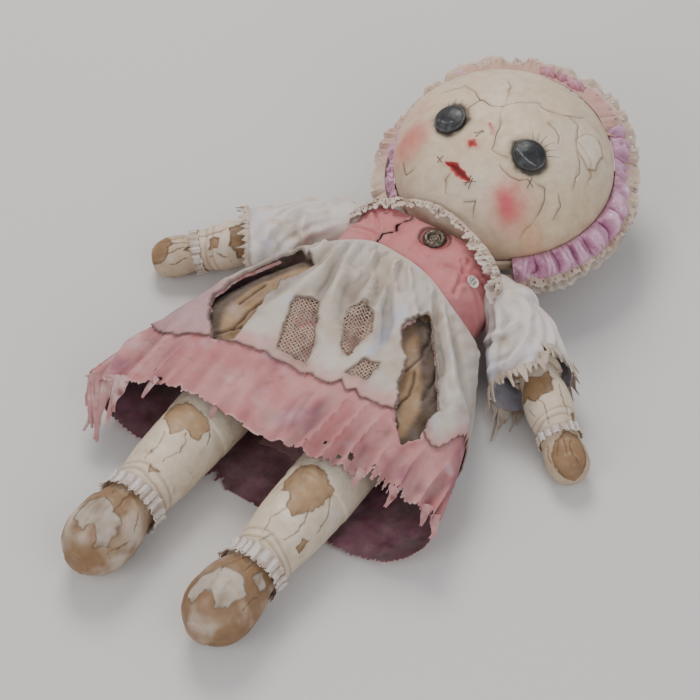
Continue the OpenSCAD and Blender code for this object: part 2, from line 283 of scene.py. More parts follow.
def shell(name, p, quads, normals, thick, material, tint, inner_tint=None, uv=None, keep=None):
    """A cloth or card shell: the kept quads of a surface, the same quads set back by thick, and a rim round
    every edge. The second of two materials goes on the inside."""
    quads = quads if keep is None else quads[keep]
    n = len(p)
    back = p - normals * (thick if np.ndim(thick) == 0 else np.asarray(thick)[:, None])
    edges = np.concatenate([quads[:, [0, 1]], quads[:, [1, 2]], quads[:, [2, 3]], quads[:, [3, 0]]])
    key = np.sort(edges, axis=1)
    key = key[:, 0].astype(np.int64) * n + key[:, 1]
    _, first, count = np.unique(key, return_index=True, return_counts=True)
    rim = edges[first[count == 1]]
    rim_quads = np.stack([rim[:, 1], rim[:, 0], rim[:, 0] + n, rim[:, 1] + n], axis=1)
    faces = np.concatenate([quads, quads[:, ::-1] + n, rim_quads])
    slots = np.concatenate([np.zeros(len(quads)), np.ones(len(quads)), np.zeros(len(rim_quads))])
    points = np.concatenate([p, back])
    colours = np.concatenate([tint, tint if inner_tint is None else inner_tint])
    used = np.zeros(len(points), bool)
    used[faces.ravel()] = True
    renumber = np.cumsum(used) - 1
    faces = renumber[faces]
    two = isinstance(material, (list, tuple)) and len(material) > 1
    obj = make_piece(
        name, points[used], faces, material, colours[used],
        None if uv is None else np.concatenate([uv, uv])[used],
        slots if two else None,
    )
    a, b, c, d = (p[quads[:, i]] for i in range(4))
    obj["one_side_m2"] = float(np.linalg.norm(np.cross(c - a, d - b), axis=1).sum() / 2 * MM**2)
    return obj


def solid_of_turning(name, matrix, rows, material, paint, lumps=None, around=96, per_mm=0.8, mirror=False):
    """A lathe-like limb from rows of (distance, radius), then lumped and painted.
    lumps(z, angle, local) gives extra radius, paint(z, angle, local) the tint."""
    zs = np.array([r[0] for r in rows], float)
    count = max(12, int((zs[-1] - zs[0]) * per_mm))
    steps = np.concatenate([[zs[0]], zs[0] + (zs[-1] - zs[0])
                            * (1 - np.cos(np.linspace(0.02, math.pi - 0.02, count))) / 2, [zs[-1]]])
    radii = np.interp(steps, zs, [r[1] for r in rows])
    if len(rows) > 3:
        radii = np.clip(curve_at(steps, rows), 0.05, None)
    z, a = np.meshgrid(steps, np.arange(around) / around * TAU, indexing="ij")
    r = np.repeat(radii[:, None], around, axis=1)
    z, a, r = z.ravel(), a.ravel(), r.ravel()
    local = np.stack([r * np.cos(a), r * np.sin(a), z], axis=1)
    if lumps is not None:
        r = np.maximum(r + lumps(z, a, local) * np.minimum(1, r / 6), 0.05)
    local = np.stack([r * np.cos(a), r * np.sin(a), z], axis=1)
    tint = paint(z, a, local)
    quads = grid_faces(len(steps), around, closed_v=True)[:, ::-1]
    n = len(local)
    ends = [(n, tuple(range(around))), (n + 1, tuple(range(n - around, n)))]
    local = np.vstack([local, [0, 0, z[:around].mean()], [0, 0, z[-around:].mean()]])
    tint = np.vstack([tint, tint[0], tint[-1]])
    faces = [tuple(q) for q in quads]
    for i in range(around):
        j = (i + 1) % around
        faces.append((n, ends[0][1][j], ends[0][1][i]))
        faces.append((n + 1, ends[1][1][i], ends[1][1][j]))
    points = place(matrix, local)
    if mirror:
        points[:, 0] *= -1
        faces = [f[::-1] for f in faces]
    return make_piece(name, points, faces, material, tint)


def ribbon_tube(path, radius, sides=6):
    """Points and faces of a thin thread along a path (n x 3). radius is one number or one per point."""
    path = np.asarray(path, float)
    radius = np.broadcast_to(np.asarray(radius, float), len(path))
    tangent = np.gradient(path, axis=0)
    tangent /= np.linalg.norm(tangent, axis=1, keepdims=True) + 1e-12
    up = np.array([0.13, 0.21, 0.97])
    points = []
    for p, t, r in zip(path, tangent, radius):
        a = np.cross(t, up)
        a /= np.linalg.norm(a) + 1e-12
        b = np.cross(t, a)
        for k in range(sides):
            w = TAU * k / sides
            points.append(p + r * (math.cos(w) * a + math.sin(w) * b))
    faces = [tuple(f) for f in grid_faces(len(path), sides, closed_v=True)]
    faces.append(tuple(range(sides)))
    faces.append(tuple(range(len(points) - 1, len(points) - 1 - sides, -1)))
    return np.array(points), faces


def joined(parts):
    """Several (points, faces) as one."""
    points, faces, base = [], [], 0
    for p, f in parts:
        points.append(p)
        faces += [tuple(int(i) + base for i in face) for face in f]
        base += len(p)
    return np.vstack(points), faces


# ------------------------------------------------------------------ materials


class Graph:
    """A short way to write a node material."""

    def __init__(self, name):
        self.material = bpy.data.materials.new(name)
        self.material.use_nodes = True
        self.tree = self.material.node_tree
        self.shader = self.tree.nodes["Principled BSDF"]
        self.height = None

    def node(self, kind, **values):
        n = self.tree.nodes.new(kind)
        for key, value in values.items():
            if hasattr(n, key) and key not in n.inputs:
                setattr(n, key, value)
            else:
                n.inputs[key.replace("_", " ")].default_value = value
        return n

    def link(self, a, b):
        self.tree.links.new(a, b)

    def coords(self, kind="Object"):
        return self.node("ShaderNodeTexCoord").outputs[kind]

    def cloth_uv(self):
        return self.node("ShaderNodeUVMap", uv_map="Cloth").outputs["UV"]

    def noise(self, size_mm, detail=4.0, rough=0.55, where=None):
        """Noise with lumps about size_mm across."""
        n = self.node("ShaderNodeTexNoise", Scale=1 / (size_mm * MM), Detail=detail, Roughness=rough)
        self.link(where or self.coords(), n.inputs["Vector"])
        return n.outputs["Fac"]

    def ramp(self, fac, low, high, low_value=0.0, high_value=1.0):
        n = self.node("ShaderNodeMapRange")
        n.inputs["From Min"].default_value = low
        n.inputs["From Max"].default_value = high
        n.inputs["To Min"].default_value = low_value
        n.inputs["To Max"].default_value = high_value
        self.link(fac, n.inputs["Value"])
        return n.outputs["Result"]

    def maths(self, operation, a, b):
        n = self.node("ShaderNodeMath", operation=operation)
        for socket, value in zip(n.inputs, (a, b)):
            if isinstance(value, (int, float)):
                socket.default_value = value
            else:
                self.link(value, socket)
        return n.outputs[0]

    def mix(self, fac, a, b, mode="MIX"):
        n = self.node("ShaderNodeMix", data_type="RGBA", blend_type=mode)
        for socket, value in ((n.inputs[0], fac), (n.inputs[6], a), (n.inputs[7], b)):
            if isinstance(value, (int, float)):
                socket.default_value = value
            elif isinstance(value, tuple):
                socket.default_value = (*value, 1.0)
            else:
                self.link(value, socket)
        return n.outputs[2]

    def tint(self):
        return self.node("ShaderNodeAttribute", attribute_name="Tint").outputs["Color"]

    def weave(self, pitch_mm, where=None):
        """Two crossed sets of threads, from 0 in the gaps to 1 on the threads."""
        where = where or self.cloth_uv()
        sets = []
        for direction in ("X", "Y"):
            n = self.node("ShaderNodeTexWave", wave_type="BANDS", bands_direction=direction)
            n.inputs["Scale"].default_value = 0.31 / (pitch_mm * MM)
            n.inputs["Distortion"].default_value = 0.8
            n.inputs["Detail"].default_value = 1.0
            self.link(where, n.inputs["Vector"])
            sets.append(n.outputs["Fac"])
        return self.maths("MAXIMUM", sets[0], sets[1])

    def add_height(self, value, depth_mm):
        """Adds value (0 to 1) times depth to the bump."""
        scaled = self.maths("MULTIPLY", value, depth_mm * MM)
        self.height = scaled if self.height is None else self.maths("ADD", self.height, scaled)

    def finish(self, colour, rough, **constants):
        if isinstance(colour, tuple):
            self.shader.inputs["Base Color"].default_value = (*colour, 1.0)
        else:
            self.link(colour, self.shader.inputs["Base Color"])
        if isinstance(rough, (int, float)):
            self.shader.inputs["Roughness"].default_value = rough
        else:
            self.link(rough, self.shader.inputs["Roughness"])
        for key, value in constants.items():
            self.shader.inputs[key.replace("_", " ")].default_value = value
        if self.height is not None:
            bump = self.node("ShaderNodeBump", Strength=1.0, Distance=1.0)
            self.link(self.height, bump.inputs["Height"])
            self.link(bump.outputs["Normal"], self.shader.inputs["Normal"])
        return self.material


def paint_material():
    """Old matt paint over composition: fine crazing, dust in the low places, rubbed to a soft shine."""
    g = Graph("old_paint")
    wobble = g.noise(9, 3)
    shifted = g.node("ShaderNodeVectorMath", operation="ADD")
    scaled = g.node("ShaderNodeVectorMath", operation="SCALE")
    g.link(g.node("ShaderNodeTexNoise", Scale=150.0).outputs["Color"], scaled.inputs[0])
    scaled.inputs["Scale"].default_value = 0.004
    g.link(g.coords(), shifted.inputs[0])
    g.link(scaled.outputs[0], shifted.inputs[1])
    cells = g.node("ShaderNodeTexVoronoi", feature="DISTANCE_TO_EDGE", Scale=95.0)
    g.link(shifted.outputs[0], cells.inputs["Vector"])
    line = g.ramp(cells.outputs["Distance"], 0.0, 0.035, 1.0, 0.0)
    patchy = g.ramp(g.noise(26, 2), 0.58, 0.74)
    craze = g.maths("MULTIPLY", line, patchy)
    mottled = g.mix(g.ramp(wobble, 0.3, 0.75, 0.0, 0.30), g.tint(), (0.42, 0.28, 0.17), "MULTIPLY")
    grime = g.mix(g.ramp(g.noise(2.2, 5, 0.7), 0.58, 0.78, 0.0, 0.30), mottled, (0.30, 0.19, 0.11))
    colour = g.mix(g.maths("MULTIPLY", craze, 0.32), grime, (0.20, 0.12, 0.07))
    g.add_height(g.maths("SUBTRACT", 1.0, craze), 0.10)
    g.add_height(g.noise(5, 4), 0.55)
    g.add_height(g.noise(0.8, 3), 0.07)
    rough = g.ramp(wobble, 0.3, 0.7, 0.46, 0.70)
    return g.finish(colour, rough, Specular_IOR_Level=0.42, Coat_Weight=0.06, Coat_Roughness=0.35)


def cloth_material(name, pitch=0.75, depth=0.12, soil=(0.30, 0.20, 0.14), soiled=0.35,
                   fluff=0.35):
    """Worn woven cotton: thread weave with painted shade in the gaps between the threads, pilled nap, and
    soiling in patches.
    """
    g = Graph(name)
    threads = g.weave(pitch)
    uneven = g.noise(14, 4)
    spots = g.ramp(g.noise(5, 6, 0.7), 0.60, 0.72, 0.0, soiled)
    faded = g.mix(g.ramp(uneven, 0.35, 0.7, 0.0, 0.10), g.tint(), (0.80, 0.74, 0.70))
    colour = g.mix(spots, faded, soil)
    # painted shade: darker in the gaps between the threads
    colour = g.mix(g.ramp(threads, 0.2, 0.8, 0.22, 0.0), colour, (0.12, 0.07, 0.06))
    g.add_height(threads, depth)
    g.add_height(g.noise(1.6, 5, 0.65), fluff)
    g.add_height(g.noise(9, 3), 0.7)
    return g.finish(colour, g.ramp(uneven, 0.3, 0.7, 0.74, 0.95), Sheen_Weight=0.12,
                    Sheen_Roughness=0.45, Specular_IOR_Level=0.25)


def satin_material():
    """Crumpled satin: glossy, with streaks of deeper colour."""
    g = Graph("ruched_satin")
    streak = g.noise(3, 3)
    colour = g.mix(g.ramp(streak, 0.35, 0.7, 0.0, 0.35), g.tint(), (0.30, 0.10, 0.20))
    g.add_height(g.weave(0.5), 0.02)
    g.add_height(g.noise(5, 4), 1.1)
    g.add_height(g.noise(2.2, 3), 0.35)
    return g.finish(colour, g.ramp(streak, 0.3, 0.7, 0.17, 0.32), Sheen_Weight=0.25,
                    Sheen_Roughness=0.3, Specular_IOR_Level=0.85, Anisotropic=0.3)


def button_material():
    """Black button, dulled by dust and scratches."""
    g = Graph("scratched_black_button")
    dust = g.ramp(g.noise(3.5, 6, 0.7), 0.50, 0.80, 0.0, 0.35)
    colour = g.mix(dust, g.tint(), (0.10, 0.10, 0.11))
    g.add_height(g.noise(1.2, 4), 0.06)
    return g.finish(colour, g.ramp(g.noise(6, 3), 0.3, 0.7, 0.34, 0.62), Specular_IOR_Level=0.5)


def metal_material(name, colour, rough=0.4):
    """Dull metal, rubbed bright in patches through its patina."""
    g = Graph(name)
    rub = g.ramp(g.noise(2.5, 5, 0.7), 0.40, 0.65)
    tone = g.mix(rub, (0.05, 0.04, 0.03), colour)
    g.add_height(g.noise(0.9, 4), 0.05)
    return g.finish(tone, g.ramp(rub, 0, 1, rough + 0.25, rough), Metallic=0.85)


def leather_material():
    """Dark pebbled leather of the stick's grip."""
    g = Graph("grip_leather")
    cells = g.node("ShaderNodeTexVoronoi", Scale=700.0)
    g.link(g.coords(), cells.inputs["Vector"])
    g.add_height(cells.outputs["Distance"], 0.2)
    colour = g.mix(g.ramp(g.noise(4, 4), 0.4, 0.7), (0.07, 0.035, 0.02), (0.16, 0.09, 0.05))
    return g.finish(colour, 0.55)


PAINT = paint_material()
COTTON = cloth_material("pink_cotton")
LINING = cloth_material("plum_lining", soiled=0.5, soil=(0.05, 0.02, 0.02))
APRON = cloth_material("cream_apron", soil=(0.36, 0.24, 0.16), soiled=0.42)
SLEEVE = cloth_material("white_sleeve", soil=(0.42, 0.34, 0.28), soiled=0.25)
LACEWORK = cloth_material("old_lace", pitch=1.5, depth=0.30, soil=(0.38, 0.24, 0.15), soiled=0.45,
                          fluff=0.6)
GAUZE = cloth_material("gauze_thread", pitch=0.5, depth=0.05, soil=(0.20, 0.14, 0.10), soiled=0.5,
                       fluff=0.2)
SATIN = satin_material()
BUTTON = button_material()
STEEL = metal_material("dull_steel", (0.45, 0.44, 0.42))
BRASS = metal_material("dull_brass", (0.52, 0.38, 0.18))
SNAP = metal_material("worn_snap", (0.16, 0.13, 0.10), 0.35)
LEATHER = leather_material()


# ------------------------------------------------------------------ what a piece rides on and stands for


def fit(obj, body, stands_for=None):
    """Puts a piece on its body and hides the CAD node that it stands for, if one is given."""
    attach(obj, body)
    if stands_for is not None:
        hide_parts(stands_for)


def follow_thigh(obj):
    """Bakes the placing of a piece of the dress into its mesh."""
    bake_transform(obj)


# ------------------------------------------------------------------ widths of cloth


LEAST_WIDTH = 10.5


def declare_cloth(width):
    """Raises a sheet's width, in mm, to at least LEAST_WIDTH. Nothing is kept or recorded."""
    width = max(width, LEAST_WIDTH)


# ------------------------------------------------------------------ bodice

# half the thickness of the bodice, the height of its top edge, and the radius of its neck hole
BODICE_OUT = 42.0
BODICE_TOP = 98
NECK_HOLE = 22.0
SPLIT = [(-21, 101), (-18, 92), (-24, 84), (-21, 76), (-28, 68), (-27, 57)]
SNAP_AT = (9, 87)
BUTTON_AT = (56, 71)
BUTTON_TURN = 38


def stadium(s, r):
    """A point and outward normal on the stadium section, s from 0 to 1 round from the chest's middle."""
    flat = 2 * TORSO_FLAT
    total = 2 * flat + TAU * r
    d = (np.asarray(s) % 1.0) * total + TORSO_FLAT
    x, z = np.zeros(len(d)), np.zeros(len(d))
    nx, nz = np.zeros(len(d)), np.zeros(len(d))
    top = d <= flat
    left = (d > flat) & (d <= flat + math.pi * r)
    under = (d > flat + math.pi * r) & (d <= 2 * flat + math.pi * r)
    right = (d > 2 * flat + math.pi * r) & (d <= total)
    wrapped = d > total
    x[top], z[top], nz[top] = d[top] - TORSO_FLAT, r, 1
    a = (d[left] - flat) / r
    x[left], z[left] = TORSO_FLAT + r * np.sin(a), r * np.cos(a)
    nx[left], nz[left] = np.sin(a), np.cos(a)
    x[under], z[under], nz[under] = TORSO_FLAT - (d[under] - flat - math.pi * r), -r, -1
    a = math.pi + (d[right] - 2 * flat - math.pi * r) / r
    x[right], z[right] = -TORSO_FLAT + r * np.sin(a), r * np.cos(a)
    nx[right], nz[right] = np.sin(a), np.cos(a)
    x[wrapped], z[wrapped], nz[wrapped] = d[wrapped] - total - TORSO_FLAT, r, 1
    return x, z + TORSO_Z, nx, nz


def waist_y(x):
    """The bodice's lower edge: high at the middle, low at the sides."""
    return curve_at(np.clip(x, -72, 72), [(-72, 30), (-50, 43), (-18, 55), (15, 49), (50, 32), (72, 25)])


def make_bodice():
    """The pink bodice with its split, its dip under the snap and its openings for the arms and the hand."""
    nu, nv = 520, 110
    s, v = grid(np.arange(nu) / nu, np.linspace(0, 1, nv))
    x, z, nx, nz = stadium(s, BODICE_OUT)
    front = step(30, 60, z)
    low_y = waist_y(x) * front + 34 * (1 - front)
    over = step(0.0, 0.16, v)
    body = np.clip((v - 0.16) / 0.84, 0, 1)
    y = BODICE_TOP + 3.5 * (1 - over) - (BODICE_TOP - low_y) * body
    around = np.arctan2(nx, nz)
    neck_x, neck_z = NECK_HOLE * np.sin(around), 44 + NECK_HOLE * np.cos(around)
    px = neck_x * (1 - over) + x * over
    pz = neck_z * (1 - over) + z * over
    p = np.column_stack([px, y, pz])
    xy = p[:, :2]
    out = 1.5 * layered(p, 26, 201) + 0.6 * layered(p, 8, 202)
    out -= 1.2 * hump(BODICE_TOP - y, 5) * over
    for k, (a, b) in enumerate([((40, 79), (70, 60)), ((44, 84), (52, 50)), ((34, 66), (62, 78)),
                                ((60, 84), (50, 60)), ((-60, 70), (-30, 62)), ((-52, 90), (-36, 70))]):
        gap, _ = line_distance(warp(xy, 1.6, 9, 203 + k), [a, b])
        out -= 1.5 * hump(gap, 1.5) * front
        out += 1.0 * hump(gap - 3.6, 2.0) * front
    on_front = z > 60
    gap, along = line_distance(warp(xy, 1.3, 5, 211), SPLIT)
    half = 0.9 * np.sin(np.clip(along, 0.06, 1) * 2.2) ** 0.6
    side = xy[:, 0] > -22
    out = out + np.where(on_front, hump(gap, 5) * np.where(side, 1.9, -0.6), 0)
    gap_snap = np.hypot((xy[:, 0] - SNAP_AT[0]) / 1.15, xy[:, 1] - SNAP_AT[1]) + 0.9 * noise(p, 5, 212)
    out = (out - np.where(on_front, 1.6 * (1 - step(10.5, 13.0, gap_snap))
                          - 0.9 * hump(gap_snap - 13.6, 1.5), 0))
    near_button = hump(np.hypot(xy[:, 0] - BUTTON_AT[0], xy[:, 1] - BUTTON_AT[1]), 9) * on_front
    out = out * (1 - near_button) - 0.3 * near_button
    out = out - (1.2 + np.maximum(out, 0)) * step(14, 2, y - low_y)
    normal = (np.column_stack([nx, np.zeros(len(nx)), nz]) * over[:, None] + np.array([0, 1, 0])
              * (1 - over)[:, None])
    p = p + normal * (out * over + 0.3)[:, None]
    p[:, 2] = np.maximum(p[:, 2], 0.1)
    tint = flat_colour(len(p), (0.55, 0.165, 0.17))
    tint = blend_colour(tint, (0.58, 0.22, 0.21), 0.6 * step(-0.3, 0.6, layered(p, 24, 213)))
    tint = blend_colour(tint, (0.38, 0.12, 0.12), 0.55 * step(0.1, 0.8, layered(p, 11, 214)))
    # painted shade along the lower edge, where the bodice tucks under the overskirt's top
    tint = blend_colour(tint, (0.30, 0.10, 0.08), 0.6 * hump(y - low_y, 3.0))
    # painted shade, near black, along the edges of the split
    split_shade = hump(gap, 1.8) * on_front
    tint = blend_colour(tint, (0.07, 0.03, 0.025), 0.95 * split_shade)
    tint = blend_colour(tint, (0.30, 0.05, 0.05),
                        np.where(on_front, 0.85 * (1 - step(9.5, 15.5, gap_snap)), 0))
    # painted shade: a dark ring on the steep rim of the dip round the snap
    tint = blend_colour(tint, (0.06, 0.02, 0.015), np.where(on_front, 0.85 * hump(gap_snap - 11.8, 1.2), 0))
    # painted shade: darker on the underside, towards the floor
    tint = blend_colour(tint, (0.10, 0.05, 0.04), step(30, 10, z) * 0.35)
    quads = grid_faces(nu, nv, closed_u=True)
    middle = p[quads].mean(axis=1)
    mx, my, mz = middle.T
    hand_gap = (mz < 25) & (np.abs(mx) < 40) & (my < 83)
    arm_gap = (np.abs(mx) > 58) & (np.hypot(my - SHOULDER[1], mz - SHOULDER[2]) < 22)
    open_gap = (gap[quads].mean(axis=1) < half[quads].mean(axis=1)) & (mz > 60)
    uv = np.column_stack([s * 380, y])
    obj = shell("rag_bodice", p, quads, normal, 1.1, [COTTON, LINING], tint, flat_colour(len(p), PLUM),
                uv, ~(hand_gap | arm_gap | open_gap))
    fit(obj, "torso", "bodice")
    declare_cloth(75)


def lathe_at(name, matrix, profile, material, tint, around=48, squash=1.0, wobble=0.0, seed=1):
    """A small turned fitting: profile is (radius, height) rows from its top's middle down to its base."""
    fine = np.linspace(0, len(profile) - 1, 6 * len(profile))
    radii = np.interp(fine, range(len(profile)), [row[0] for row in profile])
    heights = np.interp(fine, range(len(profile)), [row[1] for row in profile])
    r, a = grid(radii, np.arange(around) / around * TAU)
    local = np.column_stack([r * np.cos(a), r * np.sin(a) * squash, np.repeat(heights, around)])
    local[:, 2] += wobble * noise(local + 40, 2.5, seed)
    shade = blend_colour(flat_colour(len(local), tint), DARK,
                         0.6 * step(0.1, 0.8, layered(local + 70, 3, seed)))
    faces = grid_faces(len(radii), around, closed_v=True)
    return make_piece(name, place(matrix, local), faces, material, shade)


def make_fastenings():
    """The dark snap, and the small button with the two stitches that hold it."""
    snap = lathe_at(
        "dark_snap", Matrix.Translation((SNAP_AT[0], SNAP_AT[1], TORSO_Z + BODICE_OUT - 1.2)),
        [(0.01, 2.1), (2.4, 2.0), (3.2, 1.2), (4.2, 1.1), (5.2, 2.6), (6.6, 3.2), (8.0, 3.0),
         (8.9, 2.2), (9.6, 1.8), (9.9, 0.9), (9.4, 0.0), (7.5, -0.3)],
        SNAP, (0.10, 0.08, 0.06), 56, 1.0, 0.15, 221,
    )
    fit(snap, "torso", "neck_snap")
    turned = (Matrix.Translation((TORSO_FLAT, BUTTON_AT[1], TORSO_Z)) @ turn("Y", BUTTON_TURN)
              @ Matrix.Translation((0, 0, BODICE_OUT + 0.2)))
    button = lathe_at(
        "small_button", turned,
        [(0.01, 1.0), (1.5, 1.0), (3.2, 1.1), (4.2, 1.7), (4.9, 2.1), (5.4, 1.8), (5.6, 1.0),
         (5.3, 0.2), (3.5, -0.2)],
        PAINT, (0.74, 0.68, 0.62), 48, 0.86, 0.12, 222,
    )
    fit(button, "torso", "shirt_button")
    stitches = []
    for dx in (-1.5, 1.5):
        t = np.linspace(0, math.pi, 12)
        arch = np.column_stack([np.full(12, dx), 1.9 * np.cos(t), 1.0 + 0.7 * np.sin(t)])
        stitches.append(ribbon_tube(place(turned, arch), 0.34, 6))
    points, faces = joined(stitches)
    thread = make_piece("button_thread", points, faces, LACEWORK,
                        flat_colour(len(points), (0.12, 0.07, 0.05)))
    fit(thread, "torso")


# ------------------------------------------------------------------ collar

COLLAR = [
    (0, 110, 90), (-21, 107, 89), (-42, 100, 84), (-60, 91, 74), (-68, 84, 60), (-62, 92, 30),
    (-48, 99, 9), (-20, 101, 3),
    (20, 101, 3), (48, 99, 9), (64, 90, 30), (74, 78, 58), (68, 87, 76), (50, 96, 86), (26, 104, 90),
]


def closed_curve(points, count):
    """A smooth closed curve through given points."""
    pts = np.asarray(points, float)
    n = len(pts)
    t = np.arange(count) / count * n
    i = t.astype(int)
    f = (t - i)[:, None]
    a, b, c, d = pts[(i - 1) % n], pts[i % n], pts[(i + 1) % n], pts[(i + 2) % n]
    return 0.5 * (2 * b + (c - a) * f + (2 * a - 5 * b + 4 * c - d) * f**2 + (3 * b - a - 3 * c + d) * f**3)


def make_collar():
    """Two rows of tattered lace gathered round the neck."""
    for name, width, lift, ruffles, seed in (("collar_ruffle", 17.0, 0.0, 22, 231),
                                             ("collar_edge", 10.0, 2.2, 30, 241)):
        nu, nv = 1100, 17
        centre = closed_curve(COLLAR, nu)
        tangent = np.roll(centre, -1, axis=0) - np.roll(centre, 1, axis=0)
        tangent /= np.linalg.norm(tangent, axis=1, keepdims=True)
        middle = np.array([0, 60, 44])
        outward = centre - middle
        outward[:, 1] *= 0.25
        outward /= np.linalg.norm(outward, axis=1, keepdims=True)
        down = np.cross(tangent, outward)
        down *= -np.sign(down[:, 1:2] + 1e-9)
        u = np.repeat(np.arange(nu) / nu * TAU, nv)
        v = np.tile(np.linspace(0, 1, nv), nu)
        c, o, d = (np.repeat(m, nv, axis=0) for m in (centre, outward, down))
        phase = u * ruffles + 3.0 * noise(c, 22, seed) + 1.3 * noise(c, 7, seed + 1)
        wave = np.sin(phase) * (0.6 + 0.7 * noise(c, 15, seed + 6)) + 0.3 * np.sin(2.3 * phase)
        wide = (width * (0.80 + 0.35 * step(15, 60, c[:, 0]) + 0.28 * noise(c, 16, seed + 2)
                         + 0.10 * np.abs(np.sin(phase * 1.5)) * v))
        height = (lift + 3.2 * np.sin(math.pi * np.clip(v * 0.9 + 0.1, 0, 1)) + 1.9 * wave * v
                  + 0.8 * layered(c + d * (v * width)[:, None], 6, seed + 3))
        p = c + d * (wide * (v - 0.25))[:, None] + o * height[:, None]
        p[:, 2] = np.maximum(p[:, 2], 0.4)
        tint = flat_colour(len(p), (0.66, 0.54, 0.43))
        tint = blend_colour(tint, (0.52, 0.30, 0.28), 0.7 * step(-0.1, 0.7, layered(p, 16, seed + 4)))
        # painted shade in the troughs of the ruffles
        tint = blend_colour(tint, (0.26, 0.13, 0.10), 0.7 * step(-0.1, -1.0, wave))
        tint = blend_colour(tint, (0.76, 0.68, 0.60), 0.6 * step(0.75, 1.0, v))
        quads = grid_faces(nu, nv, closed_u=True)
        mid_v, mid_u = v[quads].mean(axis=1), u[quads[:, 0]]
        holes = (np.abs(mid_v - 0.70) < 0.09) & (np.abs(np.sin(phase[quads].mean(axis=1) * 1.5)) < 0.30)
        torn = ((mid_v > 0.62 + 0.45 * (noise(np.column_stack([mid_u * 60, mid_u * 0, mid_u * 0]), 4.0,
                                              seed + 5) + 0.75)) | holes)
        normals = grid_normals(p, nu, nv, True)
        normals *= np.sign((normals * o).sum(axis=1, keepdims=True) + 1e-9)
        obj = shell(name, p, quads, normals, 0.7, LACEWORK, tint,
                    uv=np.column_stack([u * 90, v * width]), keep=~torn)
        fit(obj, "torso")
        if name == "collar_ruffle":
            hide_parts("collar_lace")
        declare_cloth(width)


# ------------------------------------------------------------------ skirt and overskirt

# rows of y, half-width, lowest z and highest z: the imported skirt's bell, a little fuller at the waist
BELL = [(56, 71, 0.6, 85), (28, 88, 0.6, 84), (8, 102, 0.6, 84), (-19, 117, 0.6, 83),
        (-50, 131, 0.6, 81), (-85, 143, 0.5, 78), (-120, 152, 0.4, 74), (-150, 156, 0.3, 71),
        (-185, 160, 0.3, 64)]
HOLE_LEFT = [(47, 17), (41, -2), (45, -18), (60, -30), (66, -52), (82, -80), (98, -97), (108, -82),
             (104, -55), (92, -34), (74, -12), (58, 8)]
HOLE_RIGHT = [(-76, 22), (-92, 2), (-104, -22), (-110, -52), (-98, -76), (-80, -94), (-64, -86),
              (-66, -62), (-72, -38), (-66, -8), (-56, 12)]
GAUZE_WINDOWS = [
    [(-30, -76), (-40, -52), (-47, -28), (-32, -22), (-22, -36), (-12, -56), (-6, -76)],
    [(12, -50), (0, -30), (-6, -13), (4, -3), (16, -12), (24, -30), (20, -54)],
    [(30, -68), (36, -50), (46, -48), (44, -66)],
]
PLEATS = [
    [(-26, 56), (-12, 26), (0, 0), (12, -42)], [(-3, 52), (12, 26), (29, 6), (58, -28)],
    [(-44, 44), (-46, 10), (-50, -40)],
    [(-36, 48), (-34, 22), (-22, -14), (-10, -46)], [(12, 46), (30, 18), (52, -4)],
    [(34, 38), (62, 0), (112, -70)],
    [(-58, 36), (-72, -10), (-84, -70)], [(4, 52), (4, 20), (26, -30), (34, -70)],
    [(54, 30), (88, -10), (128, -60)], [(-14, 54), (-20, 30), (-30, 0)],
]


def bell_size(y):
    """The bell's half-width, lowest z and highest z at y."""
    return [curve_at(-y, [(-row[0], row[k]) for row in BELL]) for k in (1, 2, 3)]


def bell_point(a, y, out):
    """A place on the bell at angle a from +X, distance y along, out mm outside it."""
    half, low, high = bell_size(y)
    half = half + out
    c, s = np.cos(a), np.sin(a)
    mid, tall = (low + high) / 2, (high - low) / 2 + out
    return np.column_stack([half * np.sign(c) * np.abs(c) ** 0.72, y, mid + tall * np.sign(s)
                            * np.abs(s) ** 0.62])


def bell_angle(x, y):
    """The angle of the front place at (x, y)."""
    half = bell_size(y)[0]
    return np.arccos(np.sign(x) * np.clip(np.abs(x) / half, 0, 1) ** (1 / 0.72))


def cloth_relief(p):
    """Folds and pleats of the dress, as distance outwards, and how much it sinks between the legs."""
    xy = p[:, :2]
    front = step(25, 60, p[:, 2])
    out = 2.6 * layered(p * [1, 0.5, 1], 28, 301) + 1.1 * layered(p * [1, 0.7, 1], 10, 302)
    for line in PLEATS:
        gap, along = line_distance(warp(xy, 2.5, 20, 303), line)
        fade = (1 - step(0.55, 1.0, along)) * step(0.0, 0.04, along + 0.02)
        wide = 2.8 + 4.0 * along
        out = out + front * fade * (5.6 * hump(gap, wide) - 3.6 * hump(gap - 1.9 * wide, 0.75 * wide))
    x, y = xy.T
    sink = front * step(-10, -110, y) * (9.0 * hump(x + 2, 20) + 5.0 * step(92, 120, np.abs(x)))
    around = x * (1 + 0.3 * (1 - front))
    folds = np.sin(around * 0.155 + 2.6 * noise(p * [1, 0.4, 1], 40, 305))
    fine = np.sin(around * 0.41 + 2.4 * noise(p * [1, 0.5, 1], 20, 306))
    strength = 0.65 + 0.75 * noise(p * [1, 0.2, 1], 34, 308)
    ripple = (step(-62, -125, y) * (4.6 * strength * (1 - 2 * np.abs(folds) ** 0.8) + 1.6 * fine
                                    * (1.1 - strength)))
    gathers = step(-20, 40, y) * 0.9 * np.sin(around * 0.62 + 1.8 * noise(p, 16, 307))
    out = out + front * (ripple + gathers)
    out = np.clip(out, -5.0 + 3.6 * step(0, 34, y), 7.5)
    return out, sink


def torn_rim(p, rings, seed):
    """Signed distance to the nearest torn hole in the front of the dress."""
    xy = warp(warp(p[:, :2], 2.4, 9, seed), 0.9, 3.0, seed + 7)
    best = np.full(len(p), 99.0)
    for ring in rings:
        best = np.minimum(best, inside(xy, ring))
    return np.where(p[:, 2] > 30, best, 99.0)


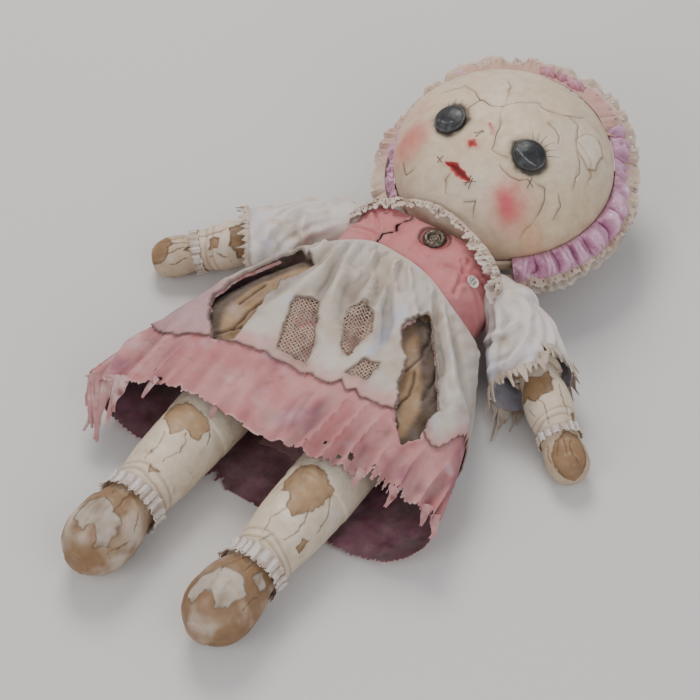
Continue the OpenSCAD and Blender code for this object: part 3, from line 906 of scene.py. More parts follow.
def dress_layer(name, nu, nv, top_y, hem_y, inset, rings, paint, fray, materials, inner):
    """One layer of the skirt as two halves that part at the middle."""
    made = []
    for side in ("left", "right"):
        turn_from = -math.pi / 2 if side == "left" else math.pi / 2
        u, v = grid(np.linspace(turn_from, turn_from + math.pi, nu), np.linspace(0, 1, nv))
        start_y, end_y = top_y(u), hem_y(u)
        y = start_y + (end_y - start_y) * v
        base = bell_point(u, y, 0.0)
        out, sink = cloth_relief(base)
        rim = torn_rim(base, rings, 331)
        out = out + 1.6 * hump(rim - 1.5, 2.5) - 2.0 * hump(np.maximum(rim, 0), 0.9)
        attached = step(0.0, 0.06, v) if name == "overskirt" else np.ones(len(v))
        out = out + (1.6 if name == "overskirt" else -2.0) * (1 - step(0.05, 0.25, v))
        wide = grid_normals(base, nu, nv)
        p = base + wide * (out * attached - inset)[:, None]
        p[:, 2] -= sink * attached
        p[:, 2] = np.maximum(p[:, 2], 0.25 + 0.1 * inset)
        quads = grid_faces(nu, nv)
        mid = base[quads].mean(axis=1)
        keep = rim[quads].mean(axis=1) > 0
        length = np.abs(end_y - start_y)
        left_over = (length * (1 - v))[quads].mean(axis=1)
        keep &= left_over > fray(u[quads].mean(axis=1), mid)
        keep &= ~((mid[:, 2] < 25) & (np.abs(mid[:, 0]) < 40) & (mid[:, 1] > 24))
        near_edge = np.minimum(np.maximum(rim, 0), np.maximum(length * (1 - v) - fray(u, base), 0))
        tint = paint(p, v, near_edge)
        # painted shade in the valleys of the folds
        tint = blend_colour(tint, tint * 0.45, 0.75 * step(0.5, -4.5, out))
        # painted highlight on the ridges of the folds
        tint = blend_colour(tint, np.minimum(tint * 1.25, 0.85), 0.5 * step(2.0, 6.0, out))
        uv = np.column_stack([u * 150, y])
        obj = shell(f"{name}_{side}", p, quads, grid_normals(p, nu, nv), 0.9, materials, tint,
                    inner(p), uv, keep)
        follow_thigh(obj)
        made.append(obj)
    return made


def wrapped(u):
    """The angle brought into -90 to 270 degrees, so that both halves read one list."""
    d = np.degrees(u)
    return np.where(d > 270, d - 360, d)


def overskirt_top(u):
    """Where the overskirt starts, along the bodice's lower edge."""
    x = 71 * np.cos(u)
    front = step(-0.1, 0.5, np.sin(u))
    return (waist_y(x) + 1.5) * front + 36 * (1 - front)


def overskirt_hem(u):
    """Where the overskirt ends, by degrees round the bell."""
    return curve_at(wrapped(u), [(-90, -80), (-45, -82), (0, -62), (20, -58), (38, -82), (55, -74),
                                 (70, -80), (90, -84), (105, -90), (120, -96), (140, -104), (165, -96),
                                 (200, -84), (270, -80)])


def skirt_hem(u):
    """Where the pink skirt ends, by degrees round the bell."""
    return curve_at(wrapped(u), [(-90, -167), (-60, -166), (-35, -156), (-12, -136), (8, -131),
                                 (30, -130), (50, -136), (72, -143), (90, -147), (112, -149),
                                 (135, -160), (158, -167), (180, -163), (225, -166), (270, -167)])


def ragged(u, p, size, depth, seed):
    """How much of the edge is worn away: uneven teeth with deeper bites."""
    q = np.column_stack([p[:, 0], p[:, 2] * 1.1, np.zeros(len(p))])
    along = 110 * u + 3.0 * noise(q, 12, seed)
    tooth = np.abs(((along / size) % 1.0) * 2 - 1)
    bite = step(0.35, 0.8, noise(q, 15, seed + 1))
    return (depth * (0.25 + 0.75 * tooth) * (0.55 + 0.45 * noise(q, 9, seed + 2)) + 2.2 * depth * bite
            * tooth)


def paint_overskirt(p, v, edge):
    """Cream cloth, greyed and browned, with pink dye creeping up from the skirt and dark torn edges."""
    c = flat_colour(len(p), (0.56, 0.485, 0.41))
    c = blend_colour(c, (0.66, 0.61, 0.56), 0.7 * step(-0.2, 0.6, layered(p * [1, 0.6, 1], 26, 251)))
    c = blend_colour(c, (0.52, 0.56, 0.70), 0.7 * step(0.1, 0.6, layered(p * [1, 0.5, 1], 17, 252)))
    c = blend_colour(c, (0.42, 0.32, 0.235), 0.8 * step(0.1, 0.7, layered(p, 20, 253)))
    c = blend_colour(c, (0.34, 0.27, 0.21), 0.6 * step(0.25, 0.8, layered(p * [1, 0.4, 1], 9, 257)))
    c = blend_colour(c, (0.52, 0.33, 0.28), 0.35 * step(0.3, 1.0, layered(p, 13, 254)))
    # dye creeping up from the pink skirt
    low = step(0.80, 1.0, v + 0.10 * layered(p, 14, 255))
    c = blend_colour(c, (0.56, 0.27, 0.26), 0.85 * low)
    c = blend_colour(c, (0.48, 0.24, 0.26), 0.8 * step(-70, -100, p[:, 0] + 10 * noise(p, 20, 256))
                     * step(0.35, 0.6, v))
    window = torn_rim(p, GAUZE_WINDOWS, 291)
    c = blend_colour(c, (0.34, 0.23, 0.15), 0.6 * hump(np.maximum(window, 0), 3.0))
    c = blend_colour(c, (0.10, 0.06, 0.04), 0.85 * hump(edge, 1.6))
    return c


def paint_skirt(p, v, edge):
    """Pink cloth, faded and stained, with pale frayed edges."""
    c = flat_colour(len(p), (0.52, 0.19, 0.19))
    c = blend_colour(c, (0.62, 0.32, 0.31), 0.7 * step(-0.2, 0.7, layered(p * [1, 0.6, 1], 24, 261)))
    c = blend_colour(c, (0.66, 0.42, 0.46), 0.7 * step(0.2, 0.8, layered(p, 17, 262)))
    c = blend_colour(c, (0.28, 0.09, 0.13), 0.85 * step(0.0, 0.7, layered(p * [1, 0.45, 1], 13, 263)))
    c = blend_colour(c, (0.34, 0.24, 0.20), 0.5 * step(0.35, 0.8, layered(p, 21, 266)))
    c = blend_colour(c, (0.22, 0.10, 0.08), 0.5 * step(0.35, 0.8, layered(p, 7, 264)))
    c = blend_colour(c, (0.66, 0.50, 0.46), 0.65 * hump(edge, 1.1) * step(-0.5, 0.2, noise(p, 4, 265)))
    return c


def inside_skirt(p):
    """The skirt's dark plum lining."""
    c = flat_colour(len(p), PLUM)
    c = blend_colour(c, (0.26, 0.09, 0.14), 0.7 * step(-0.1, 0.7, layered(p, 18, 271)))
    return blend_colour(c, (0.05, 0.025, 0.02), 0.7 * step(0.0, 0.8, layered(p, 9, 272)))


def inside_overskirt(p):
    """The overskirt's brown inner side."""
    return blend_colour(flat_colour(len(p), (0.34, 0.24, 0.18)), DARK,
                        0.6 * step(-0.2, 0.6, layered(p, 12, 273)))


PINHOLES = [(50, -128, 2.0), (66, -132, 2.6), (75, -129, 3.0), (85, -133, 2.4), (94, -126, 1.8),
            (38, -135, 1.6), (-96, -146, 2.2), (-104, -140, 1.8)]


def skirt_fray(u, p):
    """The skirt's teeth, and the moth holes above its hem."""
    worn = ragged(u, p, 5.2, 4.2, 281)
    front = p[:, 2] > 30
    for x, y, r in PINHOLES:
        hole = front & (np.hypot((p[:, 0] - x) / 0.8, p[:, 1] - y) + 0.6 * noise(p, 2, 283) < r)
        worn = np.where(hole, 999.0, worn)
    return worn


def overskirt_fray(u, p):
    """The overskirt's longer, softer teeth."""
    return ragged(u, p, 9.0, 3.0, 285)


def make_skirts():
    """The pink skirt and the torn overskirt on top of it."""
    count = ((400, 140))
    rings = [HOLE_LEFT, HOLE_RIGHT]
    over = dress_layer("overskirt", *count, overskirt_top, overskirt_hem, -0.6, rings + GAUZE_WINDOWS,
                       paint_overskirt, overskirt_fray, [APRON, LINING], inside_overskirt)
    under = dress_layer("skirt", *count, lambda u: np.full(len(u), 8.0), skirt_hem, 1.6, rings,
                        paint_skirt, skirt_fray, [COTTON, LINING], inside_skirt)
    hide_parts("overskirt")
    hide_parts("skirt")
    for obj in over:
        declare_cloth(125)
    for obj in under:
        declare_cloth(185)


def dress_surface(xy, out):
    """Points on the front of the dress above (x, y), out mm off it."""
    x, y = np.asarray(xy, float).T
    a = bell_angle(x, y)
    base = bell_point(a, y, 0.6)
    relief, sink = cloth_relief(base)
    p = bell_point(a, y, 0.6 + out)
    p[:, 2] += 0.85 * relief - sink
    return p


def make_gauze():
    """Open coarse weave showing where the overskirt has worn through."""
    parts = []
    pitch, slope = 2.5, math.radians(24)
    along, across = (np.array([math.sin(slope), math.cos(slope)]),
                     np.array([math.cos(slope), -math.sin(slope)]))
    for ring in GAUZE_WINDOWS:
        centre = np.mean(ring, axis=0)
        for d, other, phase in ((along, across, 0), (across, along, 1)):
            for k in range(-18, 19):
                t = np.linspace(-36, 36, 90)
                xy = centre + np.outer(t, d) + other * k * pitch
                q = np.column_stack([xy, np.zeros(90)])
                xy = xy + 0.5 * np.column_stack([noise(q, 9, 311), noise(q, 9, 312)])
                ok = inside(xy, ring) < 3.0
                ok &= noise(q + k * 7.0, 15, 313) > -0.62
                runs = np.split(np.arange(90), np.where(np.diff(ok.astype(int)) != 0)[0] + 1)
                for run in runs:
                    if ok[run[0]] and len(run) > 5:
                        bob = 0.35 * np.sin(t[run] / pitch * math.pi + (k + phase) * math.pi)
                        path = dress_surface(xy[run], -1.0)
                        path[:, 2] += bob
                        parts.append(ribbon_tube(path, 0.48 * (1 + 0.25 * noise(path, 4, 314)), 5))
    points, faces = joined(parts)
    tint = blend_colour(flat_colour(len(points), (0.56, 0.45, 0.33)), (0.24, 0.17, 0.12),
                        step(-0.1, 0.6, layered(points, 10, 315)))
    for side in ("left", "right"):
        sign = side_sign(side)
        mine = np.array([sign * points[list(f)][:, 0].mean() >= 0 for f in faces])
        chosen = [f for f, m in zip(faces, mine) if m]
        used = np.unique(np.concatenate([np.array(f) for f in chosen]))
        renumber = np.zeros(len(points), int)
        renumber[used] = np.arange(len(used))
        obj = make_piece("gauze_" + side, points[used], [tuple(renumber[list(f)]) for f in chosen],
                         GAUZE, tint[used])
        follow_thigh(obj)


def make_shreds():
    """Torn strips hanging from the hem: long claws at the figure's right front, short threads elsewhere."""
    parts = {"left": [], "right": []}
    claws = [
        (136, 20, (0.1, -1.0, -0.5)), (140, 30, (0.3, -1.0, -0.6)), (144, 26, (0.1, -1.0, -0.8)),
        (147.5, 36, (0.35, -1.0, -0.7)),
        (151, 30, (0.2, -1.0, -0.9)), (154.5, 38, (0.5, -0.9, -0.6)), (158, 32, (0.3, -0.9, -0.7)),
        (161.5, 40, (0.6, -0.8, -0.4)),
        (165, 30, (0.5, -0.8, -0.3)), (169, 26, (0.7, -0.7, -0.2)), (174, 18, (0.4, -0.8, -0.2)),
        (12, 10, (0.5, -1, -0.4)), (24, 9, (0.3, -1, -0.4)), (47, 8, (0.1, -1, -0.5)),
        (62, 9, (0, -1, -0.6)), (99, 8, (0, -1, -0.6)), (122, 11, (-0.2, -1, -0.6)),
    ]
    for k, (angle, reach, lean) in enumerate(claws):
        a = np.array([math.radians(angle)])
        root = bell_point(a, skirt_hem(a) + 7.0, -1.6)
        root[:, 2] -= cloth_relief(root)[1]
        root = root[0]
        n = 26
        t = np.linspace(0, 1, n)
        d = np.array(lean) / np.linalg.norm(lean)
        sway = 3.0 * noise(np.column_stack([t * 30, np.full(n, k * 13.0), t * 0]), 11, 321)
        path = root + np.outer(t * (reach + 7), d)
        path[:, 2] -= 9 * t**2 * (reach / 30)
        path[:, 0] += sway * t
        path[:, 1] += 0.6 * sway[::-1] * t
        path[:, 2] = np.maximum(path[:, 2], 0.9)
        side_way = np.cross(d, [0, 0, 1.0])
        side_way /= np.linalg.norm(side_way)
        half = (3.3 * (1 - t) ** 0.8 + 0.55) * (1 + 0.3 * noise(path, 4, 322))
        strip = torn_strip(path, half, side_way, 0.8, 1.0)
        parts["left" if angle < 90 else "right"].append(strip)
    for side, list_ in parts.items():
        points, faces = joined(list_)
        points[:, 2] = np.maximum(points[:, 2], 0.3)
        tint = blend_colour(flat_colour(len(points), (0.50, 0.22, 0.23)), (0.66, 0.46, 0.42),
                            step(-0.2, 0.7, layered(points, 8, 331)))
        tint = blend_colour(tint, (0.16, 0.06, 0.05), 0.8 * step(0.1, 0.7, layered(points, 5, 332)))
        obj = make_piece("hem_shreds_" + side, points, faces, COTTON, tint)
        follow_thigh(obj)


def make_petticoat():
    """A narrow worn panel under the middle of the dress, front and back, which stays with the torso."""
    for name, low_z, seed in (("petticoat_front", False, 341), ("petticoat_back", True, 351)):
        nu, nv = 46, 120
        x, y = grid(np.linspace(-25, 25, nu), np.linspace(24, -112, nv))
        edge = 3.0 * noise(np.column_stack([x, x * 0, x * 0]), 5, seed)
        y = np.where(y < -104, y + edge, y)
        p = dress_surface(np.column_stack([x, y]), -5.0)
        p[:, 2] = np.minimum(p[:, 2], 76)
        if low_z:
            p[:, 2] = 3.4 + 0.6 * layered(p, 16, seed)
        else:
            p[:, 2] += 0.8 * layered(p, 12, seed) - 1.5 * np.abs(np.sin(x * 0.3))
        tint = blend_colour(flat_colour(nu * nv, (0.26, 0.13, 0.13)), (0.12, 0.05, 0.05),
                            step(-0.2, 0.7, layered(p, 14, seed + 1)))
        quads = grid_faces(nu, nv)[:, ::-1]
        obj = shell(name, p, quads, -grid_normals(p, nu, nv), 0.8, LINING, tint,
                    uv=np.column_stack([x, y]), keep=p[quads].mean(axis=1)[:, 1] < 22)
        fit(obj, "torso")
        declare_cloth(50)


def make_stuffing_cloth():
    """Coarse brown cloth under the torn places, creased and split like the figure's old body."""
    for side in ("left", "right"):
        sign = side_sign(side)
        nu, nv = ((150, 220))
        x, y = grid(np.linspace(26, 118, nu) * sign, np.linspace(34, -112, nv))
        half = bell_size(y)[0] - 12
        x = np.clip(x, -half, half)
        a = bell_angle(x, y)
        p = bell_point(a, y, -9.0)
        p[:, 2] -= 0.5 * cloth_relief(p)[1]
        xy = warp(np.column_stack([x, y]), 2.0, 10, 361)
        rise = 1.6 * layered(p * [1, 0.5, 1], 17, 362) + 0.6 * layered(p, 6, 363)
        splits = [[(sign * 62, 8), (sign * 70, -16), (sign * 66, -36)],
                  [(sign * 74, -30), (sign * 84, -52), (sign * 80, -74)],
                  [(sign * 88, -20), (sign * 96, -48)],
                  [(sign * 58, -40), (sign * 70, -66), (sign * 92, -84)]]
        dark = np.zeros(len(p))
        for line in splits:
            gap, _ = line_distance(xy, line)
            dark = np.maximum(dark, hump(gap, 1.1))
            rise = rise - 1.4 * hump(gap, 1.4) + 0.7 * hump(gap - 3.6, 2.2)
        p[:, 2] += rise
        tint = flat_colour(len(p), (0.30, 0.185, 0.092))
        tint = blend_colour(tint, (0.42, 0.28, 0.155), 0.7 * step(-0.1, 0.6, layered(p, 14, 364)))
        tint = blend_colour(tint, (0.22, 0.125, 0.065),
                            0.75 * step(0.0, 0.7, layered(p * [1, 0.4, 1], 12, 365)))
        tint = blend_colour(tint, (0.50, 0.38, 0.40), 0.5 * step(0.2, 0.7, layered(p, 19, 366)))
        tint = blend_colour(tint, (0.05, 0.03, 0.02), 0.9 * dark)
        ring = HOLE_LEFT if side == "left" else HOLE_RIGHT
        shade = inside(np.column_stack([x, y]) + [sign * 5.0, 4.0], ring)
        tint = blend_colour(tint, (0.05, 0.03, 0.02), 0.85 * step(-5.0, 2.0, shade))
        quads = grid_faces(nu, nv)[:, ::-1] if side == "left" else grid_faces(nu, nv)
        normals = grid_normals(p, nu, nv)
        normals *= np.sign(normals[:, 2:3] + 1e-9)
        keep = inside(np.column_stack([x, y])[quads].mean(axis=1), ring) < 9
        obj = shell("stuffing_cloth_" + side, p, quads, normals, 0.9, COTTON, tint,
                    uv=np.column_stack([x, y]), keep=keep)
        follow_thigh(obj)
        declare_cloth(70)

# ------------------------------------------------------------------ head

EYES = {"left": (40.0, -14.0), "right": (-35.0, -19.0)}
MOUTH = [(-17, -52), (-9, -52), (-3, -54), (4, -55), (9, -56)]
NOSE = (-5, -30)
# Cracks in the paint, as broken lines on the face
CRACKS = [
    [(-50, 19), (-36, 16), (-25, 9), (-14, 7), (-3, 12), (2, 21), (11, 29), (18, 33)],
    [(-3, 11), (1, 1), (7, -7), (10, -18), (13, -27), (18, -27), (27, -25)],
    [(24, -34), (36, -37), (44, -35), (48, -29)],
    [(53, -27), (62, -27), (67, -33), (68, -44), (65, -53), (62, -62)],
    [(18, 31), (26, 31), (35, 35), (42, 41), (47, 52)],
    [(34, 22), (40, 20), (47, 17), (50, 11)],
    [(58, 26), (67, 25), (74, 22), (80, 14), (84, 4)],
    [(64, 17), (71, 12), (76, 2), (78, -10)],
    [(-9, -57), (-10, -63), (-4, -70)],
    [(-22, 43), (-13, 34), (-5, 17)],
    [(72, -20), (78, -26), (77, -36)],
    [(-62, 8), (-54, 14), (-50, 19)],
    [(-25, 9), (-28, -2), (-24, -9)],
    [(42, 41), (52, 38), (58, 26)],
    [(-58, -58), (-50, -66), (-44, -62)],
    [(13, -70), (21, -66), (24, -74)],
]
LASHES = {
    "left": [((34, 0), (30, 6)), ((37, 1), (35, 9)), ((41, 1), (41, 10)), ((45, 0), (48, 9)),
             ((48, -2), (54, 6)), ((51, -5), (58, 1))],
    "right": [((-44, -8), (-50, -2)), ((-41, -6), (-45, 3)), ((-37, -5), (-38, 4)), ((-33, -6), (-31, 1))],
}
FLAKE = [(57, 26), (60, 42), (67, 45), (76, 34), (81, 20), (77, 13), (68, 18), (63, 20)]
MEND = [((49, -30), (55, -32)), ((51, -27), (52, -35)), ((-27, -50), (-20, -53)),
        ((-24, -54), (-22, -48)), ((6, -59), (15, -54)), ((11, -53), (12, -61)), ((9, -52), (8, -60)),
        ((-9, -22), (-2, -17)), ((-6, -24), (-4, -16))]


def warp(xy, amount=1.2, size=7.0, seed=3):
    """Points nudged by noise, so that a given line runs as a real break does."""
    p = np.column_stack([xy, np.zeros(len(xy))])
    return xy + amount * np.column_stack([noise(p, size, seed), noise(p, size, seed + 5)])


def mouth_depth(xy):
    """1 inside the torn mouth, 0 outside."""
    gap, along = line_distance(warp(xy, 0.9, 3.0, 8), MOUTH)
    half = 3.0 * np.sin(np.clip(along, 0.02, 0.98) * math.pi) ** 0.7
    return 1 - step(half - 0.7, half + 0.4, gap)


def face_height(xy):
    """How far the face stands off its plain oval at (x, y)."""
    p = np.column_stack([xy, np.full(len(xy), 5.0)])
    h = 0.8 * noise(p, 46, 1) + 0.35 * layered(p, 13, 2)
    for x, y in EYES.values():
        r = np.hypot(xy[:, 0] - x, xy[:, 1] - y)
        h -= 1.5 * hump(r, 15)
        h += 0.8 * hump(r - 20, 5)
    h += 1.6 * hump(np.hypot(xy[:, 0] - 46, xy[:, 1] + 52), 20)
    h += 1.4 * hump(np.hypot(xy[:, 0] + 52, xy[:, 1] + 48), 20)
    h += 1.3 * hump(np.hypot(xy[:, 0] - NOSE[0], xy[:, 1] - NOSE[1]), 4.5)
    h += 1.0 * hump(line_distance(xy, MOUTH)[0], 6)
    h -= 3.2 * mouth_depth(xy)
    wobbled = warp(xy)
    for line in CRACKS:
        gap, along = line_distance(wobbled, line)
        h -= 0.32 * hump(gap, 0.8) * step(0, 0.08, along) * step(1, 0.9, along)
        h += 0.14 * hump(gap - 2.2, 1.2)
    edge = inside(warp(xy, 1.5, 6.0, 21), FLAKE)
    h += 0.7 * (1 - step(-1.0, 0.6, edge)) + 0.3 * noise(p, 3.5, 9) * (1 - step(-1, 1, edge))
    return h


def oval_point(direction, extra=0.0):
    """Points on the head's oval in unit directions (n x 3), moved out along the normal by extra."""
    p = direction * HEAD
    n = direction / HEAD
    n /= np.linalg.norm(n, axis=1, keepdims=True)
    return p + n * np.reshape(extra, (-1, 1)) if np.ndim(extra) else p + n * extra


def on_face(xy, lift=0.0):
    """Points of the painted face's surface in the head's frame."""
    xy = np.asarray(xy, float).reshape(-1, 2)
    d = np.column_stack([xy[:, 0] / HEAD[0], xy[:, 1] / HEAD[1]])
    d = np.column_stack([d, np.sqrt(np.clip(1 - (d**2).sum(axis=1), 0.0, 1))])
    return oval_point(d, face_height(xy) + lift)


def face_paint(p):
    """The face's colours at head-frame points."""
    xy = p[:, :2]
    n = len(p)
    q = p + 300
    c = flat_colour(n, (0.66, 0.53, 0.385))
    c = blend_colour(c, (0.70, 0.60, 0.485), 0.8 * step(-0.2, 0.6, noise(q, 40, 31)))
    c = blend_colour(c, (0.54, 0.40, 0.265), 0.45 * step(0.0, 0.9, layered(q, 24, 33)))
    c = blend_colour(c, (0.60, 0.45, 0.25), 0.55 * step(20, 75, xy[:, 0]) * step(40, -60, xy[:, 1]))
    c = blend_colour(c, (0.50, 0.43, 0.38),
                     0.35 * step(0.0, 0.6, layered(q, 17, 35)) * step(-5, 40, xy[:, 1]))
    soft = warp(xy, 3.0, 12, 40)
    r = np.hypot(soft[:, 0] - 45, (soft[:, 1] + 52) * 1.05)
    c = blend_colour(c, (0.64, 0.26, 0.20), 0.70 * (1 - step(8, 27, r)))
    c = blend_colour(c, (0.60, 0.075, 0.095), 0.85 * (1 - step(3, 16, r)))
    r = np.hypot(soft[:, 0] + 62, soft[:, 1] + 42)
    c = blend_colour(c, (0.60, 0.16, 0.13), 0.85 * (1 - step(3, 27, r)))
    r = np.hypot(soft[:, 0] + 76, soft[:, 1] + 14)
    c = blend_colour(c, (0.66, 0.30, 0.24), 0.35 * (1 - step(4, 22, r)))
    r = np.hypot(soft[:, 0] - 70, soft[:, 1] + 56)
    c = blend_colour(c, (0.66, 0.30, 0.16), 0.40 * (1 - step(2, 14, r)))
    for x, y in EYES.values():
        r = np.hypot(soft[:, 0] - x, soft[:, 1] - y) + 1.2 * noise(q, 4, 44)
        c = blend_colour(c, (0.30, 0.24, 0.16), 0.55 * (1 - step(13, 22, r)))
        c = blend_colour(c, (0.045, 0.045, 0.035), 0.92 * (1 - step(13.2, 17.0, r)))
    # nose, with a small loose flake of the same red above it
    d = (np.abs(xy[:, 0] - NOSE[0]) / 5.2 + np.abs(xy[:, 1] - NOSE[1]) / 4.6) + 0.18 * noise(q, 2.2, 46)
    c = blend_colour(c, (0.62, 0.28, 0.22), 0.7 * (1 - step(0.9, 2.2, d)))
    c = blend_colour(c, (0.45, 0.03, 0.03), 0.95 * (1 - step(0.75, 1.1, d)))
    c = blend_colour(c, (0.16, 0.008, 0.008), 0.8 * (1 - step(0.2, 0.55, d)))
    gap, along = line_distance(warp(xy, 0.7, 3, 48), [(-2, -9), (1, -11), (5, -15)])
    c = blend_colour(c, (0.55, 0.30, 0.24), 0.8 * (1 - step(1.6, 3.0, gap)))
    c = blend_colour(c, (0.48, 0.03, 0.04), 0.95 * (1 - step(0.6, 1.5, gap + along * 1.6)))
    # torn mouth
    gap, along = line_distance(warp(xy, 0.9, 3.0, 8), MOUTH)
    half = 3.0 * np.sin(np.clip(along, 0.02, 0.98) * math.pi) ** 0.7
    c = blend_colour(c, (0.62, 0.30, 0.24), 0.55 * (1 - step(1.0, 5.0, gap)))
    c = blend_colour(c, (0.50, 0.03, 0.035), 0.95 * (1 - step(half - 0.2, half + 1.0, gap)))
    c = blend_colour(c, (0.16, 0.004, 0.006), 0.95 * (1 - step(half - 1.7, half - 0.5, gap)))
    wobbled = warp(xy)
    for line in CRACKS:
        gap, _ = line_distance(wobbled, line)
        faint = 0.35 + 0.65 * step(-0.3, 0.5, noise(q, 14, 52))
        c = blend_colour(c, (0.40, 0.27, 0.16), 0.34 * hump(gap, 2.4) * step(-0.4, 0.5, noise(q, 8, 51)))
        c = blend_colour(c, (0.24, 0.15, 0.09), 0.70 * faint * hump(gap, 0.62))
    edge = inside(warp(xy, 1.5, 6.0, 21), FLAKE)
    c = blend_colour(c, (0.76, 0.66, 0.52), 0.75 * (1 - step(-1.5, 0.3, edge)))
    c = blend_colour(c, (0.28, 0.17, 0.09), 0.75 * hump(edge, 0.8))
    # painted shade near the face's rim, under the bonnet's ribbon and ruffle
    c = blend_colour(c, (0.40, 0.27, 0.17), 0.5 * step(2, -14, p[:, 2]))
    return c


def square_to_disc(count):
    """Grid points over a unit disc, with faces."""
    a = np.linspace(-1, 1, count)
    u, v = grid(a, a)
    return (np.column_stack([u * np.sqrt(1 - v * v / 2), v * np.sqrt(1 - u * u / 2)]),
            grid_faces(count, count))


def cap_directions(count, widest):
    """Unit directions over a cap of the head, from its pole to the angle widest (degrees)."""
    disc, faces = square_to_disc(count)
    r = np.hypot(disc[:, 0], disc[:, 1])
    a = r * math.radians(widest)
    s = np.where(r > 1e-9, np.sin(a) / np.maximum(r, 1e-9), 1.0)
    return np.column_stack([disc[:, 0] * s, disc[:, 1] * s, np.cos(a)]), faces


def head_normals(d):
    """The head's outward normals in unit directions d, turned into the figure's frame."""
    n = d / HEAD
    n /= np.linalg.norm(n, axis=1, keepdims=True)
    return n @ np.array(HEAD_FRAME)[:3, :3].T


# how far from the head's pole the seam lies, in degrees
SEAM_ANGLE = math.degrees(math.acos(SEAM_Z / HEAD[2]))


def make_face():
    """The painted front half of the head."""
    d, faces = cap_directions(420, SEAM_ANGLE)
    front = step(-4, 8, d[:, 2] * HEAD[2])
    base = d * HEAD
    p = oval_point(d, face_height(base[:, :2]) * front)
    tint = face_paint(base)
    world = place(HEAD_FRAME, p)
    face = shell("painted_face", world, faces, head_normals(d), 3.0, PAINT, tint, flat_colour(len(p), TAN))
    fit(face, "head", "face_shell")


def seam_path(extra, z, count):
    """Points round the head at height z in the head's frame, extra outside its oval there."""
    a = np.linspace(0.0, TAU, count)
    ring = math.sqrt(1 - (z / HEAD[2]) ** 2)
    return (a, np.column_stack([(HEAD[0] * ring + extra) * np.cos(a), (HEAD[1] * ring + extra)
                                * np.sin(a), np.full(count, z)]))


def make_skull():
    """The rear half of the head, a little proud of the face under the figure's left cheek."""
    d, faces = cap_directions(150, 180 - SEAM_ANGLE + 6)
    d = d * np.array([1, 1, -1])
    faces = faces[:, ::-1]
    angle = np.arctan2(d[:, 1], d[:, 0])
    proud = hump(angle + 1.0, 0.42) * hump(d[:, 2] + 0.22, 0.26)
    q = d * HEAD
    p = oval_point(d, -0.6 + 6.5 * proud + 0.5 * layered(q, 20, 61))
    tint = flat_colour(len(p), CREAM)
    tint = blend_colour(tint, (0.42, 0.30, 0.20), 0.6 * step(-0.1, 0.7, layered(q, 18, 62)))
    tint = blend_colour(tint, (0.62, 0.24, 0.26),
                        0.8 * step(0.35, 0.9, proud) * step(-0.2, 0.5, noise(q, 12, 63)))
    turned = head_normals(d)
    skull = shell("skull_back", place(HEAD_FRAME, p), faces, turned, 3.0, PAINT, tint)
    fit(skull, "head", "skull_shell")

    a, ring = seam_path(0.6, SEAM_Z, 500)
    ring += np.column_stack([np.cos(a), np.sin(a), np.zeros(500)]) * 0.5 * noise(ring, 14, 65)[:, None]
    points, faces = ribbon_tube(place(HEAD_FRAME, ring), 1.7 + 0.35 * noise(ring, 9, 66), 10)
    q = np.repeat(ring, 10, axis=0)
    tint = blend_colour(flat_colour(len(points), (0.66, 0.53, 0.38)), (0.24, 0.14, 0.08),
                        step(-0.1, 0.6, layered(q, 9, 67)))
    rim = make_piece("face_rim", points, faces, PAINT, tint)
    fit(rim, "head")


def wandering(line, spacing=0.8, amount=0.7, seed=71):
    """A given line with close points that wander like a break."""
    pts = np.asarray(line, float)
    lengths = np.concatenate([[0], np.cumsum(np.linalg.norm(np.diff(pts, axis=0), axis=1))])
    count = max(5, int(lengths[-1] / spacing))
    s = np.linspace(0, lengths[-1], count)
    xy = np.column_stack([np.interp(s, lengths, pts[:, 0]), np.interp(s, lengths, pts[:, 1])])
    p = np.column_stack([xy, np.zeros(count)])
    return xy + amount * np.column_stack([noise(p, 3.0, seed), noise(p, 3.0, seed + 3)])


def make_face_lines():
    """Open cracks, painted lashes and mending threads, each a thin dark line set in the surface."""
    parts = []
    for i, line in enumerate(CRACKS):
        unwarped = wandering(line, amount=0.6, seed=71 + i)
        xy = unwarped - (warp(unwarped) - unwarped)
        t = np.linspace(0, 1, len(xy))
        width = 0.17 * np.sin(math.pi * t) ** 0.6 * (1 + 0.9 * noise(np.column_stack([xy, t]), 8, 80 + i))
        path = place(HEAD_FRAME, on_face(xy, 0.14))
        parts.append(ribbon_tube(path, np.clip(width, 0.03, 0.24), 5))
    for lashes in LASHES.values():
        for i, (a, b) in enumerate(lashes):
            xy = wandering([a, ((a[0] + b[0]) / 2 - 0.6, (a[1] + b[1]) / 2), b], 1.0, 0.3, 90 + i)
            parts.append(ribbon_tube(place(HEAD_FRAME, on_face(xy, 0.05)),
                                     np.linspace(0.26, 0.08, len(xy)), 5))
    for i, (a, b) in enumerate(MEND):
        xy = wandering([a, b], 1.0, 0.3, 110 + i)
        arch = 0.35 + 0.5 * np.sin(np.linspace(0, math.pi, len(xy)))
        parts.append(ribbon_tube(place(HEAD_FRAME, on_face(xy, arch)), 0.26, 6))
    points, faces = joined(parts)
    shade = blend_colour(flat_colour(len(points), (0.065, 0.036, 0.022)), (0.15, 0.09, 0.055),
                         step(-0.2, 0.5, noise(points, 9, 96)))
    lines = make_piece("crack_lines", points, faces, PAINT, shade)
    fit(lines, "head")


